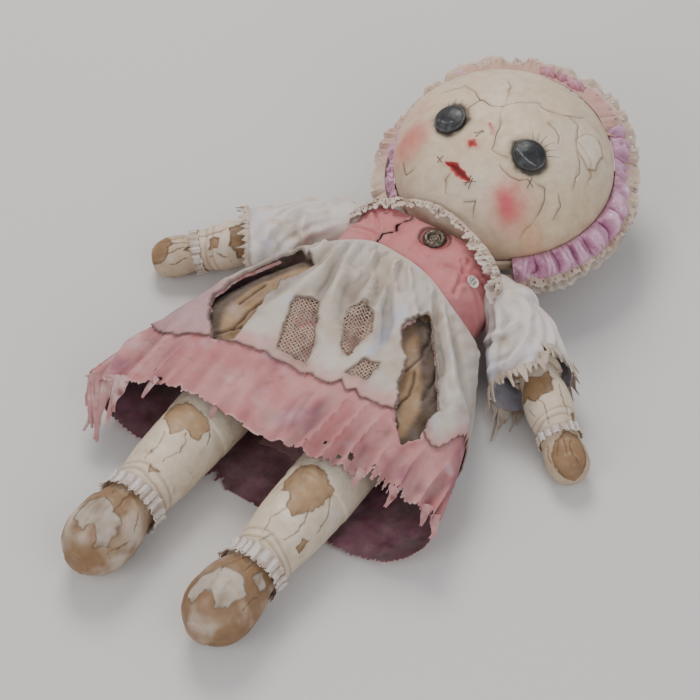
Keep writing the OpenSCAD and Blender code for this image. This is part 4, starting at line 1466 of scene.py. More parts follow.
def make_eyes():
    """Domed black coat buttons with a worn rim and one pale scratch each."""
    profile = [(0.0, 5.6), (3.5, 5.4), (7.0, 4.7), (10.0, 3.6), (11.4, 2.9), (12.0, 2.5), (12.5, 2.7),
               (13.2, 2.5), (13.6, 1.6), (13.3, 0.5), (11.5, -0.4)]
    scratches = {"left": [(-11, -2), (-4, -5), (3, -6), (9, -5)], "right": [(-8, -5), (0, -6), (6, -3)]}
    around = 72
    for side, (x, y) in EYES.items():
        r = np.array([row[0] for row in profile])
        h = np.array([row[1] for row in profile])
        fine = np.linspace(0, len(r) - 1, 50)
        r, h = np.interp(fine, range(len(r)), r), np.interp(fine, range(len(h)), h)
        rr, aa = np.meshgrid(r, np.arange(around) / around * TAU, indexing="ij")
        hh = np.repeat(h[:, None], around, axis=1)
        rr, aa, hh = rr.ravel(), aa.ravel(), hh.ravel()
        flat = np.column_stack([rr * np.cos(aa) * 1.05, rr * np.sin(aa) * 0.97])
        gap, _ = line_distance(flat, scratches[side])
        q = np.column_stack([flat, hh]) + (50 if side == "left" else 90)
        hh = hh - 0.25 * hump(gap, 0.6) + 0.12 * noise(q, 3, 121)
        at = np.array([[x / HEAD[0], y / HEAD[1]]])
        d = np.column_stack([at, np.sqrt(1 - (at**2).sum(axis=1))])
        centre = oval_point(d)[0]
        n = Vector(d[0] / HEAD).normalized()
        tilt = Vector((0, 0, 1)).rotation_difference(n).to_matrix().to_4x4()
        frame_here = HEAD_FRAME @ Matrix.Translation(centre) @ tilt
        tint = flat_colour(len(flat), (0.012, 0.012, 0.013))
        tint = blend_colour(tint, (0.06, 0.055, 0.05), 0.7 * hump(rr - 12.8, 0.5))
        tint = blend_colour(tint, (0.30, 0.29, 0.28),
                            0.85 * hump(gap, 0.42) * step(-0.5, 0.1, noise(q, 2.5, 122)))
        tint = blend_colour(tint, (0.07, 0.075, 0.08), 0.6 * step(0.1, 0.6, layered(q, 6, 123)))
        eye = make_piece("button_eye_" + side, place(frame_here, np.column_stack([flat, hh])),
                         grid_faces(50, around, closed_v=True), BUTTON, tint)
        fit(eye, "head", "eye_" + side)


# ------------------------------------------------------------------ bonnet

# the bonnet's band leaves this much free on each side of the neck
NECK_GAP = math.radians(38)


def ring_surface(a, out, z):
    """Points round the head: a is the angle, out the distance outside the oval."""
    return np.column_stack([(HEAD[0] + out) * np.cos(a), (HEAD[1] + out) * np.sin(a), z])


def over_the_top(u):
    """1 over the top of the head, where the bonnet's edge is pulled forward; 0 at the sides."""
    return step(0.5, 1.1, u) * step(3.1, 2.3, u)


def make_ribbon():
    """A gathered satin band just behind the face's rim, in uneven glossy puffs between tight pleats."""
    start, stop = -math.pi / 2 + NECK_GAP, 3 * math.pi / 2 - 0.64
    nu, nv = ((1300, 36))
    u, v = grid(np.linspace(start, stop, nu), np.linspace(0, 1, nv))
    line = np.column_stack([90 * np.cos(u), 90 * np.sin(u), 0 * u])
    q = line + np.column_stack([0 * u, 0 * u, 16 * v])
    wide = curve_at(u, [(start, 1.05), (-0.3, 1.3), (0.5, 1.15), (1.0, 1.0), (1.5, 0.95), (2.2, 0.75),
                        (3.2, 0.75), (stop, 0.6)])
    crown = over_the_top(u)
    phase = u * 34 + 2.6 * noise(line, 26, 131) + 1.5 * noise(q, 9, 132) + 1.5 * (v - 0.5) * np.sin(u * 5)
    puff = np.abs(np.sin(phase / 2)) ** 0.55
    pinch = np.abs(np.sin(phase * 1.5 + 2 * noise(q, 8, 136))) ** 1.5
    bulge = np.sin(math.pi * np.clip(v, 0.0, 1.0)) ** 0.5
    tall = 0.75 + 0.5 * noise(line, 19, 137)
    crumple = 1.7 * layered(q, 6.5, 133) + 0.9 * layered(q, 2.8, 138)
    out = (1.0 + 11.0 * wide * v + bulge * (-1.6 + 7.4 * puff * tall) * wide - 1.2 * pinch * bulge
           + crumple * bulge + 7.0 * crown * v)
    z = (SEAM_Z + 9 - 16 * v + bulge * (-1.0 + 8.6 * puff * tall) * wide - 1.2 * pinch * bulge
         - 4 * (1 - wide) + 19 * crown)
    p = ring_surface(u, out, z)
    tint = flat_colour(len(p), (0.60, 0.29, 0.43))
    # painted highlight on the tops of the puffs
    tint = blend_colour(tint, (0.74, 0.44, 0.58), 0.85 * step(0.75, 1.0, puff) * bulge)
    # painted shade between the puffs
    tint = blend_colour(tint, (0.26, 0.07, 0.13), 0.85 * step(0.5, 0.1, puff))
    # painted shade in the pinched creases
    tint = blend_colour(tint, (0.30, 0.09, 0.16), 0.6 * pinch * step(0.4, -0.6, crumple))
    # painted highlight on the crumpled peaks
    tint = blend_colour(tint, (0.84, 0.62, 0.74), 0.6 * step(0.4, 1.4, crumple) * bulge)
    tint = blend_colour(tint, (0.62, 0.36, 0.28), 0.55 * step(0.15, 0.7, noise(q, 40, 134)))
    faces = grid_faces(nu, nv)
    world = place(HEAD_FRAME, p)
    uv = np.column_stack([u * 100, v * 20])
    band = shell("satin_ribbon", world, faces, grid_normals(world, nu, nv), 0.7, SATIN, tint, uv=uv)
    fit(band, "head", "bonnet_ribbon")
    declare_cloth(26)


def make_frill(name, start, stop, out0, out1, z0, z1, lift, ruffles, depth, seed, tints, count):
    """A pleated lace edge round the head with a scalloped outer side and worked holes."""
    nu, nv = count, 17
    u, v = grid(np.linspace(start, stop, nu), np.linspace(0, 1, nv))
    q = np.column_stack([100 * np.cos(u), 100 * np.sin(u), 10 * v])
    flatq = q * [1, 1, 0]
    phase = u * ruffles + 3.6 * noise(flatq, 30, seed) + 1.6 * noise(flatq, 11, seed + 1)
    wave = np.sin(phase) * (0.65 + 0.6 * noise(flatq, 16, seed + 7)) + 0.35 * np.sin(phase * 2.3 + 1)
    scallop = 0.13 * np.abs(np.sin(phase * 0.5 + 0.6)) + 0.16 * noise(flatq, 12, seed + 2)
    fade = step(start, start + 0.15, u) * step(stop, stop - 0.15, u)
    width = (out1 - out0) * (0.80 + scallop) * (0.35 + 0.65 * fade)
    crown = over_the_top(u)
    out = out0 + width * v + 0.6 * np.cos(2 * phase) * v + 0.3 * lift * crown * v
    z = z0 + lift * crown + (z1 - z0) * v + depth * wave * v**0.8 + 0.7 * layered(q, 7, seed + 3) * v
    p = ring_surface(u, out, z)
    tint = flat_colour(len(p), tints[0])
    tint = blend_colour(tint, tints[1], 0.8 * step(0.0, 0.8, noise(q, 34, seed + 4)))
    # painted shade in the troughs of the pleats
    tint = blend_colour(tint, (0.30, 0.16, 0.11), 0.55 * step(-0.2, -1.0, wave) * (1 - 0.5 * v))
    tint = blend_colour(tint, (0.74, 0.62, 0.52), 0.6 * step(0.7, 1.0, v))
    faces = grid_faces(nu, nv)
    world = place(HEAD_FRAME, p)
    middle_u, middle_v = u[faces].mean(axis=1), v[faces].mean(axis=1)
    phase_here = phase[faces].mean(axis=1)
    eyelet = (np.abs(middle_v - 0.72) < 0.07) & (np.abs(np.sin(phase_here * 1.5)) < 0.28)
    ragged = noise(np.column_stack([middle_u * 100, middle_v * 0, middle_v * 0]), 2.2, seed + 6) > 0.45
    edge = (middle_v > 0.95) & ragged
    piece = shell(name, world, faces, grid_normals(world, nu, nv), 0.6, LACEWORK, tint,
                  uv=np.column_stack([u * 100, v * 20]), keep=~(eyelet | edge))
    fit(piece, "head")
    declare_cloth(out1 - out0)
    return piece


def make_bonnet_edge():
    """The bonnet's gathered edge: the ribbon, two lace frills behind it and a ruffle in front of it."""
    make_ribbon()
    low, high = -math.pi / 2 + math.radians(20), 3 * math.pi / 2 - math.radians(38)
    frill = make_frill("lace_frill", low, high, 9, 22.5, SEAM_Z - 2, SEAM_Z - 8, 20, 34, 3.8, 141,
                       [(0.62, 0.47, 0.36), (0.60, 0.36, 0.30)], 1700)
    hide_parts("bonnet_lace")
    make_frill("under_frill", low - 0.1, high + 0.1, 6, 21, SEAM_Z - 11, SEAM_Z - 18, 9, 30, 3.2, 151,
               [(0.60, 0.50, 0.40), (0.48, 0.34, 0.26)], 1500)
    make_frill("face_ruffle", math.radians(50), math.radians(170), -2, 13, SEAM_Z + 14, SEAM_Z + 6, 18,
               26, 3.0, 161,
               [(0.58, 0.36, 0.26), (0.62, 0.30, 0.34)], 1000)


def make_cap():
    """The bonnet's pleated cap over the rear half of the head, open at the neck."""
    d, faces = cap_directions(190, 180 - SEAM_ANGLE + 2)
    d = d * np.array([1, 1, -1])
    faces = faces[:, ::-1]
    angle = np.arctan2(d[:, 1], d[:, 0])
    off_pole = np.hypot(d[:, 0], d[:, 1])
    q = d * HEAD
    pleats = np.sin(angle * 34 + 2.0 * noise(q, 25, 171)) * step(0.05, 0.5, off_pole)
    p = oval_point(d, 2.6 + 1.0 * pleats + 0.7 * layered(q, 14, 172))
    flat_back = -HEAD[2] - 5.0
    p[:, 2] = np.maximum(p[:, 2], flat_back)
    tint = flat_colour(len(p), (0.58, 0.46, 0.38))
    tint = blend_colour(tint, (0.50, 0.28, 0.26), 0.7 * step(0, 0.6, layered(q, 30, 173)))
    # painted shade in the valleys of the pleats
    tint = blend_colour(tint, (0.28, 0.17, 0.12), 0.5 * step(0.2, 1.0, -pleats))
    turned = head_normals(d)
    neck = (p[faces].mean(axis=1)[:, 1] < -70) & (np.abs(p[faces].mean(axis=1)[:, 0]) < 44)
    uv = np.column_stack([angle * 90, off_pole * 100])
    cap = shell("bonnet_back", place(HEAD_FRAME, p), faces, turned, 1.0, LACEWORK, tint, uv=uv, keep=~neck)
    fit(cap, "head", "bonnet_cap")
    declare_cloth(230)


def make_knot():
    """A small gathered knot of ribbon at the crown."""
    parts = []
    for angle, lean in ((100, -0.5), (84, 0.5), (92, 0.0)):
        a = math.radians(angle)
        count, across = 36, 22
        u, v = grid(np.linspace(0, TAU, count, endpoint=False), np.linspace(0, math.pi, across))
        size = (7.5, 5.0, 5.5) if lean else (4.0, 4.0, 5.0)
        ball = np.column_stack([np.sin(v) * np.cos(u), np.sin(v) * np.sin(u), np.cos(v)])
        ball *= (1 + 0.16 * np.sin(7 * u + 3 * lean) * np.sin(v))[:, None]
        centre = np.array([(HEAD[0] + 5) * math.cos(a), (HEAD[1] + 5) * math.sin(a), SEAM_Z + 30])
        parts.append((place(HEAD_FRAME, ball * size + centre),
                      grid_faces(count, across, closed_u=True)[:, ::-1]))
    points, faces = joined(parts)
    tint = blend_colour(flat_colour(len(points), (0.60, 0.26, 0.34)), (0.72, 0.44, 0.50),
                        step(-0.3, 0.6, noise(points, 5, 181)))
    knot = make_piece("ribbon_knot", points, faces, SATIN, tint)
    fit(knot, "head")


# ------------------------------------------------------------------ sleeves


def sleeve_local(side, a, z, out):
    """A point of the sleeve in the arm's own frame: -X is up, and -Y is the side that hangs down."""
    r = curve_at(z, [(-10, 23), (8, 24.5), (20, 26), (42, 27.5), (66, 29), (90, 31)])
    slack = [(-10, 0), (5, 1), (30, 6), (60, 11 if side == "left" else 14), (90, 12)]
    hang = np.clip(-np.sin(a), 0, 1) ** 1.5 * curve_at(z, slack)
    snug = np.clip(np.sin(a) * 0.7 - np.cos(a) * 0.5, 0, 1) * 3.0
    r = r + hang - snug + out
    return np.column_stack([r * np.cos(a), r * np.sin(a), z])


def sleeve_world(side, a, z, out):
    """The sleeve's surface from the armhole ring on the bodice, blending into the tube about the arm."""
    tube = place(ARM_FRAME, sleeve_local(side, a, z, out))
    ring_z = 46 - 23.0 * np.cos(a)
    ring_y = 87 + 22.0 * np.sin(a)
    ring_x = TORSO_FLAT + np.sqrt(np.clip((BODICE_OUT + 0.8) ** 2 - (ring_z - TORSO_Z) ** 2, 0, None)) - 1.5
    ring = np.column_stack([ring_x, ring_y, ring_z])
    s = step(-8, 24, z)[:, None]
    p = ring * (1 - s) + tube * s
    p[:, 0] += (1 - s[:, 0]) * s[:, 0] * 6
    p[:, 2] = np.maximum(p[:, 2], 0.5 + 0.4 * noise(p, 9, 401))
    if side == "right":
        p[:, 0] *= -1
    return p


def sleeve_end(side, a):
    """How far down the arm the cuff reaches, with its rips."""
    deg = np.degrees(a) % 360
    if side == "left":
        return curve_at(deg, [(0, 78), (60, 76), (90, 70), (130, 66), (152, 60), (165, 54), (178, 66),
                              (215, 72), (250, 70), (285, 74), (320, 78), (360, 78)])
    return curve_at(deg, [(0, 80), (70, 80), (120, 78), (160, 76), (200, 76), (240, 80), (275, 84),
                          (310, 84), (360, 80)])


def sleeve_relief(side, a, z):
    """Slack folds round the arm, deepest at the elbow."""
    seed = 410 if side == "left" else 430
    q = np.column_stack([np.cos(a) * 27, np.sin(a) * 27, z])
    out = 1.6 * layered(q * [1, 1, 0.75], 22, seed) + 0.5 * layered(q, 7, seed + 1)
    folds = [
        ((150, 5), (190, 40), (240, 68)), ((215, 2), (240, 30), (262, 62)),
        ((120, 12), (140, 45), (175, 66)), ((250, 0), (300, 20), (330, 55)),
        ((180, 22), (230, 30), (280, 24)), ((95, 0), (110, 34), (100, 70)),
        ((30, 10), (50, 40), (20, 70)), ((196, 52), (226, 60), (262, 56)),
    ]
    uv = np.column_stack([(np.degrees(a) % 360) * 0.47, z])
    for k, line in enumerate(folds):
        gap, along = line_distance(warp(uv, 2.0, 14, seed + k), [(d * 0.47, zz) for d, zz in line])
        out = (out + (2.6 * hump(gap, 3.0) - 1.5 * hump(gap - 6.0, 3.0))
               * np.sin(np.clip(along, 0.03, 0.97) * math.pi) ** 0.5)
    return out * step(-4, 14, z)


def make_sleeve(side):
    """One slack white sleeve, torn at its end."""
    nu, nv = ((320, 130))
    seed = 450 if side == "left" else 470
    a, v = grid(np.arange(nu) / nu * TAU, np.linspace(0, 1, nv))
    end = sleeve_end(side, a)
    z = -8 + (end + 8) * v
    p = sleeve_world(side, a, z, sleeve_relief(side, a, z))
    left_over = (end + 8) * (1 - v)
    along = 27 * a
    tooth = np.abs(((along + 2 * noise(p, 9, seed)) / 4.2) % 1.0 * 2 - 1)
    fray = (3.0 * tooth * (0.6 + 0.5 * noise(p, 6, seed + 1))
            + 3.5 * step(0.35, 0.8, noise(p, 10, seed + 2)) * tooth)
    quads = grid_faces(nu, nv, closed_u=True)
    if side == "right":
        quads = quads[:, ::-1]
    keep = (left_over - fray)[quads].mean(axis=1) > 0
    tint = flat_colour(len(p), (0.68, 0.62, 0.58))
    tint = blend_colour(tint, (0.56, 0.60, 0.76), 0.8 * step(0.0, 0.6, layered(p, 22, seed + 3))
                        * step(10, 45, z))
    tint = blend_colour(tint, (0.50, 0.40, 0.31), 0.75 * step(0.05, 0.7, layered(p, 15, seed + 4)))
    relief = sleeve_relief(side, a, z)
    # painted shade in the valleys of the folds
    tint = blend_colour(tint, tint * 0.55, 0.6 * step(0.0, -2.5, relief))
    tint = blend_colour(tint, (0.50, 0.40, 0.46),
                        0.6 * step(50, 80, z) * step(-0.3, 0.4, noise(p, 12, seed + 5)))
    tint = blend_colour(tint, (0.25, 0.16, 0.11), 0.65 * hump(np.maximum(left_over - fray, 0), 1.6))
    tint = blend_colour(tint, (0.52, 0.36, 0.30), 0.7 * step(8, -8, z))
    # painted shade: the inside of the sleeve, the same white cloth, is coloured darker
    dark = blend_colour(flat_colour(len(p), (0.42, 0.40, 0.46)), (0.20, 0.15, 0.13),
                        step(-0.2, 0.5, layered(p, 12, seed + 6)))
    normals = grid_normals(p, nu, nv, True) * (-1 if side == "right" else 1)
    obj = shell("sleeve_cloth_" + side, p, quads, normals, 0.9, [SLEEVE, SLEEVE], tint, dark,
                np.column_stack([along, z]), keep)
    elbow = place(ARM_FRAME, np.array([[0, 0, ELBOW_AT - 9], [0, 0, ELBOW_AT + 9.0]])) * MM
    elbow[:, 0] *= side_sign(side)
    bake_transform(obj)
    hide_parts("sleeve_" + side)
    declare_cloth(80)


def make_sleeve_head(side):
    """The soft cap of the sleeve over the shoulder ball, seen when the arm is lifted."""
    nu, nv = 120, 60
    u, v = grid(np.arange(nu) / nu * TAU, np.linspace(math.radians(58), math.radians(174), nv))
    ball = np.column_stack([np.sin(v) * np.cos(u), np.sin(v) * np.sin(u), np.cos(v)])
    gathers = 0.35 * np.sin(u * 30 + 2 * noise(ball * 20, 9, 521)) + 0.4 * layered(ball * 20, 8, 522)
    p = place(ARM_FRAME, ball * (20.3 + gathers)[:, None])
    normals = place(ARM_FRAME, ball) - np.array(SHOULDER)
    quads = grid_faces(nu, nv, closed_u=True)[:, ::-1]
    p, normals, quads = on_side(side, p, normals, quads)
    tint = blend_colour(flat_colour(len(p), CHALK), (0.56, 0.46, 0.40),
                        step(-0.2, 0.6, layered(p, 12, 523)))
    obj = shell("sleeve_head_" + side, p, quads, normals, 0.8, SLEEVE, tint,
                uv=np.column_stack([u * 20, v * 20]))
    fit(obj, "shoulder_" + side)
    declare_cloth(45)


def torn_strip(path, half, side_way, thick=0.8, curl=1.0):
    """A narrow strip of cloth along path, half wide to each side, running out to a point."""
    n = len(path)
    rows = []
    for w in (-1, -0.5, 0, 0.5, 1):
        rows.append(path + np.outer(half * w, side_way) + [0, 0, curl * (1 - abs(w))])
    p = np.stack(rows, axis=1).reshape(-1, 3)
    quads = grid_faces(n, 5)
    nrm = grid_normals(p, n, 5)
    back = p - nrm * thick
    m = len(p)
    faces = [tuple(q) for q in quads] + [tuple(q[::-1] + m) for q in quads]
    rim = [(i * 5, (i + 1) * 5) for i in range(n - 1)]
    rim += [((i + 1) * 5 + 4, i * 5 + 4) for i in range(n - 1)]
    rim += [((n - 1) * 5 + j, (n - 1) * 5 + j + 1) for j in range(4)] + [(j + 1, j) for j in range(4)]
    faces += [(x, y, y + m, x + m) for x, y in rim]
    return np.vstack([p, back]), faces


# where the cuff hangs lowest, in degrees round the arm, then each side's plain reach of the lace points,
# how uneven they are, and how much longer they get where the cuff hangs lowest
CUFF_LOWEST = 318
CUFF_POINTS = {"left": (8.0, 4.5, 27), "right": (4.5, 2.5, 10)}


def make_cuff_lace(side):
    """Lace hanging in points from the cuff: short all round, long where it falls to the floor."""
    parts = []
    seed = 490 if side == "left" else 510
    count = 40
    sign = side_sign(side)
    short, uneven, longest = CUFF_POINTS[side]
    for k in range(count):
        a = TAU * (k + 0.5) / count
        deg = math.degrees(a)
        past, before = (deg - CUFF_LOWEST) % 360, (CUFF_LOWEST - deg) % 360
        low = math.exp(-(past / 34) ** 2) if past < 180 else math.exp(-(before / 44) ** 2)
        reach = (short + uneven * math.sin(k * 2.3 + math.sin(k * 5.1))
                 + longest * low * (0.65 + 0.35 * math.sin(k * 4.1)))
        wide = 3.0 + 1.1 * math.sin(k * 1.7) + 0.6 * low
        n = 14 if reach < 14 else 22
        t = np.linspace(0, 1, n)
        z0 = sleeve_end(side, np.array([a]))[0] - 4.5
        angle = np.full(n, a) + 0.05 * np.sin(k * 3.0) * t
        flare = 1.8 + 1.0 * math.sin(k * 2.9) * t
        inner = sleeve_relief(side, np.array([a]), np.array([z0]))[0]
        path = sleeve_world(side, angle, z0 + (reach + 4.5) * t * (0.9 if low < 0.3 else 0.55), inner
                            + flare)
        droop = low * (reach - 8)
        path[:, 0] += sign * (-0.30 * droop) * t**1.4
        path[:, 1] += -0.62 * droop * t**1.3
        path[:, 2] -= 0.55 * droop * t**1.5
        path[:, 2] = np.maximum(path[:, 2], 1.0 + 0.5 * math.sin(k * 1.9))
        path += 0.5 * np.column_stack([noise(path, 6, seed), noise(path, 6, seed + 1), 0 * t])
        near = sleeve_world(side, np.array([a - 0.03, a + 0.03]), np.array([z0, z0]), inner + flare[0])
        around = near[1] - near[0]
        around /= np.linalg.norm(around)
        half = wide * np.interp(t, [0, 0.3, 0.5, 0.7, 0.9, 1], [1.15, 0.95, 0.62, 0.42, 0.22, 0.06])
        parts.append(torn_strip(path, half, around, 0.7, 0.6))
    points, faces = joined(parts)
    points[:, 2] = np.maximum(points[:, 2], 0.3)
    tint = blend_colour(flat_colour(len(points), (0.62, 0.52, 0.42)), (0.46, 0.32, 0.24),
                        step(-0.1, 0.7, layered(points, 9, seed + 2)))
    tint = blend_colour(tint, (0.20, 0.11, 0.07), 0.7 * step(0.2, 0.8, layered(points, 5, seed + 3)))
    obj = make_piece("cuff_lace_" + side, points, faces, LACEWORK, tint)
    fit(obj, "forearm_" + side, "sleeve_lace_" + side)


# ------------------------------------------------------------------ limbs


def worn_limb(p, seed, base=CREAM):
    """The old painted skin: uneven cream with grime and bare specks."""
    c = flat_colour(len(p), base)
    c = blend_colour(c, (0.70, 0.62, 0.52), 0.7 * step(-0.1, 0.6, layered(p, 24, seed)))
    c = blend_colour(c, (0.54, 0.42, 0.29), 0.6 * step(0.1, 0.8, layered(p, 15, seed + 1)))
    c = blend_colour(c, (0.40, 0.28, 0.18), 0.4 * step(0.45, 0.95, layered(p, 8, seed + 2)))
    c = blend_colour(c, (0.56, 0.36, 0.30), 0.35 * step(0.3, 0.8, layered(p, 19, seed + 3)))
    return blend_colour(c, (0.16, 0.095, 0.055), 0.6 * step(0.80, 0.95, noise(p, 4.1, seed + 4)))


def patch_distance(z, a, ring, radius, seed):
    """Signed distance (mm, inside negative) to a jagged patch whose outline is rows of (degrees, z)."""
    d = (np.degrees(a) % 360) * math.pi / 180 * radius
    uv = np.column_stack([d, z])
    uv = warp(warp(uv, 2.2, 8, seed), 0.8, 2.6, seed + 5)
    return inside(uv, [(math.radians(q[0]) * radius, q[1]) for q in ring])


def crack_lines(z, a, lines, radius, seed):
    """Strength (0-1) of thin jagged cracks drawn as rows of (degrees, z)."""
    d = (np.degrees(a) % 360) * math.pi / 180 * radius
    uv = warp(warp(np.column_stack([d, z]), 1.8, 7, seed), 0.7, 2.2, seed + 5)
    total = np.zeros(len(z))
    for line in lines:
        gap, along = line_distance(uv, [(math.radians(q[0]) * radius, q[1]) for q in line])
        taper = np.sin(np.clip(along, 0.04, 0.96) * math.pi) ** 0.5
        total = np.maximum(total, hump(gap, 0.42 * (0.5 + taper)))
    return total


def skin(patches, cracks, radius, seed, base=CREAM, bare=TAN, creases=()):
    """The relief and the colours of one worn limb, as two functions of distance, angle and local place."""

    def worn(z, a):
        best = np.full(len(z), 99.0)
        for k, ring in enumerate(patches):
            best = np.minimum(best, patch_distance(z, a, ring, radius, seed + 20 + k))
        return best

    def crease(at, z, a, local, wide):
        return hump(z - at - 2.2 * np.sin(a * 2 + at) - 1.5 * noise(local, 14, seed + 42), wide)

    def lumps(z, a, local):
        out = 0.9 * layered(local, 26, seed + 40) + 0.22 * layered(local, 7, seed + 41)
        edge = worn(z, a)
        out = out - 0.55 * (1 - step(-0.5, 0.4, edge)) + 0.25 * hump(edge - 0.9, 0.9)
        out = out - 0.6 * crack_lines(z, a, cracks, radius, seed + 60)
        for at, depth, wide in creases:
            out = out - depth * crease(at, z, a, local, wide)
        return out

    def paint(z, a, local):
        c = worn_limb(local, seed + 80, base)
        edge = worn(z, a)
        under = blend_colour(flat_colour(len(z), bare), BROWN,
                             0.7 * step(-0.1, 0.7, layered(local * [1, 1, 0.4], 9, seed + 43)))
        under = blend_colour(under, (0.42, 0.29, 0.17), 0.6 * step(0.2, 0.7, layered(local, 5, seed + 44)))
        shown = (1 - step(-0.4, 0.4, edge))[:, None]
        c = c * (1 - shown) + under * shown
        c = blend_colour(c, (0.10, 0.055, 0.03), 0.8 * hump(edge + 0.2, 0.7))
        c = blend_colour(c, (0.12, 0.07, 0.04), 0.85 * crack_lines(z, a, cracks, radius, seed + 60))
        for at, _, wide in creases:
            # painted shade in the crease grooves
            c = blend_colour(c, (0.28, 0.18, 0.11), 0.5 * crease(at, z, a, local, wide))
        return c

    return lumps, paint


def limb(name, side, frame_matrix, rows, surface, body, node):
    """One turned and painted limb part that stands for a CAD node."""
    lumps, paint = surface
    fine = 1.5
    obj = solid_of_turning(name + side, frame_matrix, rows, PAINT, paint, lumps, 210,
                           fine, side == "right")
    fit(obj, body + side, node + side)
    return obj


def make_knee_skin(side, surface):
    """The soft painted skin round the knee."""
    lumps, paint = surface
    nu, nv = ((240, 90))
    a, z = grid(np.arange(nu) / nu * TAU, np.linspace(88, 136, nv))
    local = np.column_stack([28.4 * np.cos(a), 28.4 * np.sin(a), z])
    ragged_end = 1.6 * noise(local, 7, 911) + 0.8 * noise(local, 2.5, 912)
    r = 29.3 + lumps(z, a, local) - 1.1 * step(131, 136, z + ragged_end)
    p = place(LEG_FRAME,
              np.column_stack([r * np.cos(a), r * np.sin(a), z + ragged_end * step(120, 136, z)]))
    quads = grid_faces(nu, nv, closed_u=True)
    normals = grid_normals(p, nu, nv, True)
    outward = (place(LEG_FRAME, np.column_stack([np.cos(a), np.sin(a), z * 0]))
               - place(LEG_FRAME, np.zeros((1, 3))))
    if (normals * outward).sum() < 0:
        normals, quads = -normals, quads[:, ::-1]
    p, normals, quads = on_side(side, p, normals, quads)
    tint = paint(z, a, local)
    obj = shell("knee_skin_" + side, p, quads, normals, 0.6, PAINT, tint, uv=np.column_stack([a * 28, z]))
    joint = place(LEG_FRAME, np.array([[0, 0, KNEE_AT - 14], [0, 0, KNEE_AT + 6.0]])) * MM
    joint[:, 0] *= side_sign(side)
    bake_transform(obj)
    declare_cloth(48)


FOREARM_ROWS = [(50.3, 0.6), (51.5, 6.3), (54, 10.6), (58, 13.9), (62, 15.5), (66, 16), (74, 16.6),
                (81, 18.4), (92, 19.8), (104, 19.3), (114, 17.2), (122, 15.6)]
HAND_ROWS = [(120, 12.5), (122, 15.2), (128, 15.6), (134, 16.6), (144, 17.1), (151, 16), (157, 12.2),
             (160.5, 7), (161.8, 0.6)]
SHIN_ROWS = [(101.4, 0.6), (103, 8.4), (107, 15.6), (113, 21.1), (119, 23.8), (126, 24.9),
             (129.5, 25.4), (132, 27.6), (138, 28.4), (148, 28.3), (162, 27.8), (176, 26.8), (192, 25),
             (206, 23.3), (212, 21.4)]
FOOT_ROWS = [(208, 16), (211, 20.2), (222, 22.4), (232, 25.8), (244, 27.9), (258, 28.0), (268, 25.6),
             (277, 20.2), (283, 12.6), (286.4, 4.5), (286.8, 0.6)]


def make_forearms():
    """Both forearms with their mitten hands and wrist lace."""
    for side, seed in (("left", 540), ("right", 640)):
        elbow = [(165, 71), (196, 74), (232, 70), (262, 76), (268, 90), (240, 86), (222, 94),
                 (196, 88), (178, 90), (160, 80)]
        small = ([(120, 106), (140, 109), (138, 116), (118, 113)] if side == "left"
                 else [(200, 100), (225, 103), (222, 112), (205, 108)])
        cracks = [
            [(150, 84), (158, 98), (149, 112)], [(212, 92), (205, 102), (214, 114)],
            [(250, 96), (238, 106)], [(120, 76), (132, 92)], [(178, 92), (184, 106), (176, 118)],
        ]
        shown = cracks[:3] if side == "left" else cracks[2:]
        surface = skin([elbow, small], shown, 19, seed, creases=[(106, 0.6, 1.0), (112, 0.7, 1.1)])
        limb("forearm_shell_", side, ARM_FRAME, FOREARM_ROWS, surface, "forearm_", "forearm_")
        if side == "left":
            tips = [[(140, 128), (175, 125), (215, 130), (236, 142), (226, 170), (150, 170), (132, 146)]]
        else:
            tips = [[(100, 142), (150, 148), (190, 140), (230, 150), (260, 170), (90, 170)],
                    [(200, 124), (222, 126), (214, 133)]]
        marks = [[(160, 130), (172, 142), (166, 152)], [(186, 128), (190, 146)],
                 [(205, 130), (214, 144)], [(240, 130), (250, 146)], [(120, 132), (116, 148)]]
        surface = skin(tips, marks, 16.5, seed + 13, (0.50, 0.385, 0.265), (0.27, 0.155, 0.075))
        limb("hand_shell_", side, ARM_FRAME, HAND_ROWS, surface, "forearm_", "hand_")
        make_band("wrist_lace_", side, ARM_FRAME, 118, 126, 17.0, 0.8, 15, seed + 7, "forearm_",
                  "wrist_band_")


